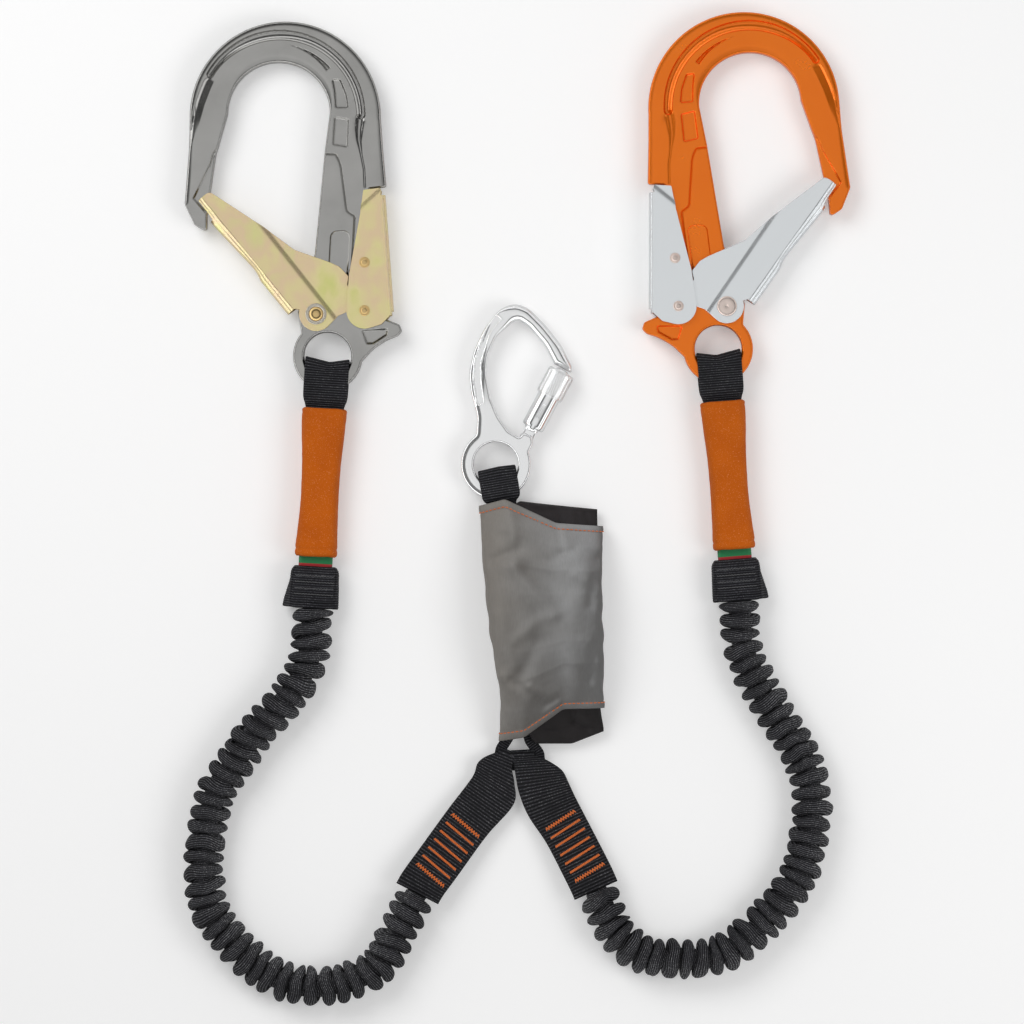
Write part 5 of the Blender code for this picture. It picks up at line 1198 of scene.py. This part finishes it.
# soft folds of the front as (from, to, width, height), places in pixels of the picture
coverFolds = [((514, 566), (552, 614), 4.2, 3.6), ((531, 570), (563, 594), 6.5, -3.4), ((560, 536), (590, 570), 5.5, 2.2),
              ((492, 560), (518, 549), 3.2, -2.2), ((498, 524), (532, 530), 4.5, 1.6), ((511, 680), (545, 704), 2.8, -2.8),
              ((502, 676), (530, 696), 3.4, 2.0), ((530, 686), (556, 703), 2.2, 1.9), ((553, 704), (549, 684), 1.5, -1.6),
              ((540, 612), (558, 664), 6.0, -2.2), ((568, 600), (576, 690), 7.5, 2.0), ((597, 560), (590, 604), 3.5, -2.0),
              ((597, 640), (590, 678), 3.5, -1.8), ((498, 616), (514, 664), 4.5, 1.8), ((486, 530), (493, 604), 3.0, -1.5),
              ((557, 527), (562, 552), 2.0, -1.4), ((509, 505), (516, 536), 2.6, 1.2), ((538, 640), (518, 680), 4.0, -1.8),
              ((575, 575), (598, 590), 3.0, 1.5), ((550, 560), (575, 548), 3.0, -1.3), ((515, 640), (535, 622), 3.2, 1.3)]
bagFolds = [((571, 706), (574, 722), 1.6, -3.2), ((574, 722), (588, 729), 1.5, -2.6), ((580, 711), (591, 723), 2.6, 2.2),
            ((558, 708), (562, 727), 2.6, 2.0), ((547, 714), (552, 728), 1.7, -2.2), ((543, 729.5), (604, 727.5), 0.8, -1.5),
            ((553, 737), (590, 737), 4.5, 1.4), ((551, 509.5), (600, 508.5), 0.8, -1.3), ((520, 505), (548, 512), 2.0, -1.6),
            ((560, 514), (562, 526), 1.7, -1.6), ((572, 512), (575, 526), 1.8, 1.4), ((586, 514), (590, 526), 1.7, -1.3),
            ((536, 503), (556, 520), 1.5, 1.2)]


def sockSpots(share, angle, sides, edges, inset):
    # share runs from the bottom edge to the top, angle round the sock from its right side over the front
    s = absorber
    left, right, bottom, top = (np.array(s[key]) for key in (*sides, *edges))
    c, v = np.cos(angle), np.sin(angle)
    u = np.sign(c) * np.abs(c) ** (2 / s["power"]) / 2 + 0.5

    def soft(line, at, reach):   # an edge with its corners eased
        return sum(np.interp(at + reach * k, line[:, 0], line[:, 1]) for k in (-1, -0.5, 0, 0.5, 1)) / 5

    def level(x, share):
        return soft(bottom, x, 1.2) * (1 - share) + soft(top, x, 1.2) * share

    y = level(np.full(np.shape(share), (left[0][1] + right[-1][1]) / 2), share)
    for _ in range(4):
        low, high = soft(left, y, 7.0) + inset, soft(right, y, 7.0) - inset
        x = low + (high - low) * u
        y = level(x, share)
    base, peak = (soft(np.array(s[key]), x, 1.2) for key in ("bottom", "top"))
    part = (y - base) / (peak - base) * 8
    crown = np.interp(part, np.arange(9), s["crown"])   # it goes on falling past both edges of the cover
    crown += np.minimum(part, 0) * s["crownEnds"][0] - np.maximum(part - 8, 0) * s["crownEnds"][1]
    crown *= s["height"] / 2
    return x, y, crown, (crown - inset) * np.sign(v) * np.abs(v) ** (2 / s["power"])


def folded(x, y, folds):
    total, flat = 0.0, np.stack([np.ravel(x), np.ravel(y)], axis=1)
    for start, end, width, height in folds:
        away = distanceTo(flat, [fromPicture(*start), fromPicture(*end)])
        total += height * absorber["foldHeight"] * np.exp(-(away / (width * absorber["foldWidth"])) ** 2)
    return total.reshape(np.shape(x))


def crumple(x, y, z, seed):   # unevenness of cloth, in millimetres
    soft = [unevenness(a * 0.045, b * 0.030, c * 0.03 + seed) * 1.9
            + unevenness(a * 0.11 + b * 0.05, b * 0.09, c * 0.08 + seed + 4.0) * 0.7
            + unevenness(a * 0.36, b * 0.30, c * 0.3 + seed + 9.0) * 0.12
            + abs(unevenness(a * 0.05 + b * 0.02, b * 0.035, c * 0.03 + seed + 14.0)) ** 0.9 * 0.6
            for a, b, c in zip(np.ravel(x), np.ravel(y), np.ravel(z))]
    return np.array(soft).reshape(np.shape(x))


def coverSpots(share, angle):
    s = absorber
    x, y, crown, z = sockSpots(share, angle, ("left", "right"), ("bottom", "top"), 0.0)
    fromEdge = np.minimum(share, 1 - share) * s["span"]
    hem = s["hemLift"] * smoothStep((s["hem"] - fromEdge) / 0.8)
    hem -= 0.35 * np.exp(-((fromEdge - s["stitchIn"]) / 0.7) ** 2)   # the stitches pull it in
    calm = smoothStep((fromEdge + 4) / 12)
    lift = folded(x, y, coverFolds) * smoothStep(np.sin(angle) / 0.5) * (0.35 + 0.65 * calm)
    lift += folded(x + 6, y - 8, coverFolds[::-1]) * smoothStep(-np.sin(angle) / 0.5) * 0.7 * calm
    out = lift + crumple(x, y, z, 1.0) * (0.4 + 0.6 * calm) + hem
    side = np.cos(angle)
    pucker = 0.28 * np.sin(y * 0.23 + 1.2 + np.sin(y * 0.06) * 2.0) * np.abs(side) ** 3 * np.sign(side) * calm
    steep = np.abs(z) / np.maximum(crown, 1.0)
    away = np.where(steep > 0.999, 1.0, steep)
    z = np.maximum(crown + z + np.sign(z) * out * away, 0.7)
    return np.stack([x + pucker + np.sign(side) * out * (1 - away), y, z], axis=-1)


def bagSpots(share, angle):
    s = absorber
    x, y, crown, z = sockSpots(share, angle, ("left", "bagRight"), ("bagBottom", "bagTop"), s["bagInset"])
    lift = folded(x, y, bagFolds) * smoothStep(np.sin(angle) / 0.4) + crumple(x, y, z, 21.0) * 0.8
    lift += folded(x + 4, y, bagFolds) * smoothStep(-np.sin(angle) / 0.4) * 0.7
    away = np.abs(z) / np.maximum(crown, 1.0)
    low, high = (np.interp(x, *np.array(s[key]).T) for key in ("bottom", "top"))
    under = smoothStep((y - low) / 9.0) * smoothStep((high - y) / 9.0)   # flatter where the cover lies over it
    z, lift = z * (1 - 0.34 * under), lift * (1 - 0.8 * under)
    return np.stack([x, y, np.maximum(crown + z + np.sign(z) * lift * away, 2.2)], axis=-1), crown


def roundTheSock(low, high, rows, columns):
    return np.meshgrid(np.linspace(low, high, rows), 2 * math.pi * (np.arange(columns) + 0.5) / columns, indexing="ij")


def clothMesh(name, grid, finish, merge=None):
    # a grid of rows round a sock, with the cloth's lean to the light kept as an attribute for its painted light and
    # shade
    rows, around = grid.shape[:2]
    wide = travelled(grid[rows // 2])
    pitch = np.linalg.norm(grid[-1] - grid[0], axis=-1).mean() / rows
    maps = [(far, i * pitch) for i in range(rows) for far in wide]
    faces, uv = tubeFaces(rows - 1, around, maps, [(wide[-1] + 1.0, 0.0)] * rows)
    piece = outward(meshOf(name, grid.reshape(-1, 3), faces, finish, uv), merge)
    nap = piece.data.attributes.new("nap", "FLOAT", "POINT")
    for corner, share in zip(piece.data.vertices, nap.data):
        # painted light and shade: cloth facing the upper left gets a high value and is painted lighter
        way = corner.normal * (1 if corner.normal.z > 0 else -1)
        share.value = min(1.0, max(0.0, 0.5 - 0.75 * way.x + 0.65 * way.y))
    return piece


cover = clothMesh("absorberCover", coverSpots(*roundTheSock(0, 1, 141, 184)), greyCloth)
if sum(face.normal.z * face.area for face in cover.data.polygons if face.center.z > 0.03) < 0:
    cover.data.flip_normals()
applied(cover, "SOLIDIFY", thickness=absorber["wall"] * mm, offset=-1.0)
putInPlace(cover, settled, "lanyard", "grey_cloth", "absorber_cover", angle=180)

grid, crown = bagSpots(*roundTheSock(0.014, 0.986, 121, 150))
caps = []
for row, way in ((0, -1.0), (-1, 1.0)):   # rounded ends, drawn shut
    for n in range(1, absorber["capRows"] + 1):
        t = math.pi / 2 * n / absorber["capRows"]
        ring = grid[row].copy()
        ring[:, 1] += way * 2.0 * math.sin(t)
        ring[:, 2] = crown[row] + (ring[:, 2] - crown[row]) * (math.cos(t) if n < absorber["capRows"] else 0.0)
        caps.append(ring)
bottom, top = caps[:absorber["capRows"]], caps[absorber["capRows"]:]
bag = clothMesh("absorberBag", np.array([*bottom[::-1], *grid, *top]), blackCloth, merge=0.00002)
putInPlace(bag, settled, "lanyard", "black_cloth", "absorber_bag", angle=180)

hems, fine, level = [], np.linspace(0, 2 * math.pi, 1441), absorber["stitchIn"] / absorber["span"]
for name, level in (("absorberTopStitches", 1 - level), ("absorberBottomStitches", level)):
    line = coverSpots(np.full(1441, level), fine)
    inner = coverSpots(np.full(1441, level * 0.96 + 0.02), fine)
    run = travelled(line)
    dashes = []
    for n in range(int(run[-1] / absorber["stitchPitch"])):
        a, b = (np.searchsorted(run, n * absorber["stitchPitch"] + reach) for reach in (0.0, absorber["stitchLength"]))
        if b < len(line):
            over = np.cross(line[b] - line[a], inner[a] - line[a])
            if over.dot(line[a] - np.array([15.0, line[a][1], 19.0])) < 0:
                over = -over
            over /= np.linalg.norm(over)
            dashes.append((line[a] + over * 0.1, line[b] + over * 0.1, over))
    hems.append(putInPlace(stitchRow(name, dashes, orangeThread, 0.36), settled, "lanyard", "grey_cloth", angle=180))
flatWidth = float(travelled(coverSpots(np.full(185, 0.5), np.linspace(0, 2 * math.pi, 185)))[-1]) * mm
print("absorber sewn, cover", round(flatWidth, 4), "m round")


# Legs: gathered webbing tubes, their folds swelling and leaning by smooth noise
legs = {"radius": 13.3, "valley": 7.3, "height": 13.6, "pitch": 9.0, "ringsPerRib": 20, "around": 60, "reach": 156.8,
        "mapPitch": 15.6, "least": 0.25, "seedStep": (17.3, 5.1, 9.7),
        "left": {"seed": 1, "slant": -0.42, "end": (-61.5, -268.0), "bearing": -27.0,
                 "middle": [(-132, -131), (-144, -149), (-161, -168), (-173, -185), (-185, -202), (-191, -223),
                            (-193.5, -242), (-193.5, -260), (-189, -281), (-175, -299), (-158, -315.5), (-138, -324),
                            (-117, -325), (-101, -321.5), (-85, -312)]},
        "right": {"seed": 2, "slant": 0.0, "end": (49.3, -266.0), "bearing": 24.0,
                  "middle": [(148.5, -136.5), (159, -154), (169, -170), (178, -186.5), (182, -203), (183, -220),
                             (180, -238.5), (175, -256), (164, -273), (146, -292), (130, -304), (116, -308), (101, -308.5),
                             (86, -307.5), (72, -302)]}}


def gatheredLeg(side):
    s, arm = legs, legs[side]
    radius, ringsPerRib, around = s["radius"], s["ringsPerRib"], s["around"]
    startAlong, endAlong = (np.array((math.sin(a), -math.cos(a))) for a in np.radians((armTurns[side], arm["bearing"])))
    start = np.array(places[side][:2]) + startAlong * s["reach"]
    end = np.array(arm["end"]) + endAlong * 0.3
    first, last = ([spot + along * radius * n for n in range(3)] for spot, along in ((start, startAlong), (end, endAlong)))
    stations = [(x, y, s["height"]) for x, y in (*first, *arm["middle"], *last[::-1])]
    ribs = round(travelled(stations)[-1] / s["pitch"])
    rings = ribs * ringsPerRib
    dense, run = smoothCurve(stations, 12)
    route = readOff(np.linspace(0.0, run[-1], rings + 1), run, dense)
    ahead = headings(route)
    beside = np.stack([ahead[:, 1], -ahead[:, 0], np.zeros(len(ahead))], axis=1)
    seed = Vector(s["seedStep"]) * arm["seed"]

    def wave(*place):
        return noise.noise(Vector(place) + seed)

    points, maps = [], []
    for i in range(rings + 1):
        share = i / ringsPerRib
        ends = min(1.0, share / 0.6, (ribs - share) / 0.6)
        for angle in 2 * math.pi * np.arange(around) / around:
            c, v = math.cos(angle), math.sin(angle)
            drift = 0.22 * wave(share * 0.22, c * 0.9, v * 0.9) + 0.20 * c * wave(share * 0.5, 3.0, 7.0)
            drift += 0.20 * wave(share * 0.8, 1.0, 5.0) + arm["slant"] * c * max(0.0, 1 - share / 18)
            phase = share + drift * ends
            lobe, inside = math.floor(phase), phase - math.floor(phase)
            full = 0.80 + 0.18 * wave(lobe * 2.3, c * 0.6, v * 0.6)   # the rest is a dark gap
            swell = math.sin(math.pi * min(inside / full, 1.0)) ** 0.45
            crest = radius * min(0.945 + 0.10 * wave(lobe * 1.7, c * 1.1, v * 1.1), 1.01)
            valley = s["valley"] * (1.0 + 0.16 * wave(lobe * 1.7 + 0.8, c * 1.1 + 4.0, v * 1.1)) - 0.9 * abs(c)
            out = valley + (crest - valley) * swell + 0.30 * wave(share * 2.6, c * 4.0, v * 4.0) * (1.4 - c)
            lean = (2.2 * wave(lobe * 0.9, c * 0.9, 11.0 + v * 0.9) + 1.98 * (0.5 - inside)) * swell * ends
            spot = route[i] + (beside[i] * c + np.array((0.0, 0.0, v))) * out - ahead[i] * lean
            points.append((spot[0], spot[1], max(spot[2], s["least"])))
            maps.append((phase * s["mapPitch"], angle * radius))
    faces, uv = tubeFaces(rings, around, maps, [(0.0, 2 * math.pi * radius)] * rings)
    first, last = len(points), len(points) + 1
    for j in range(around):
        k = (j + 1) % around
        a, b = rings * around + j, rings * around + k
        faces += [(first, k, j), (last, a, b)]
        uv += [(0, 0), maps[k], maps[j], (0, 0), maps[a], maps[b]]
    leg = outward(meshOf(side + "LegWebbing", [*points, route[0], route[-1]], faces, gatheredWebbing, uv))
    putInPlace(leg, settled, "lanyard", "black_webbing", side + "_leg", angle=180)
    length, inFrame = float(run[-1]) * mm, route * mm + np.array(centring)
    2 * radius * mm
    [tuple(p) for p in inFrame[::ringsPerRib // 2]]
    print(side, "leg", round(length, 4), "m,", ribs, "folds")


gatheredLeg("left")
gatheredLeg("right")
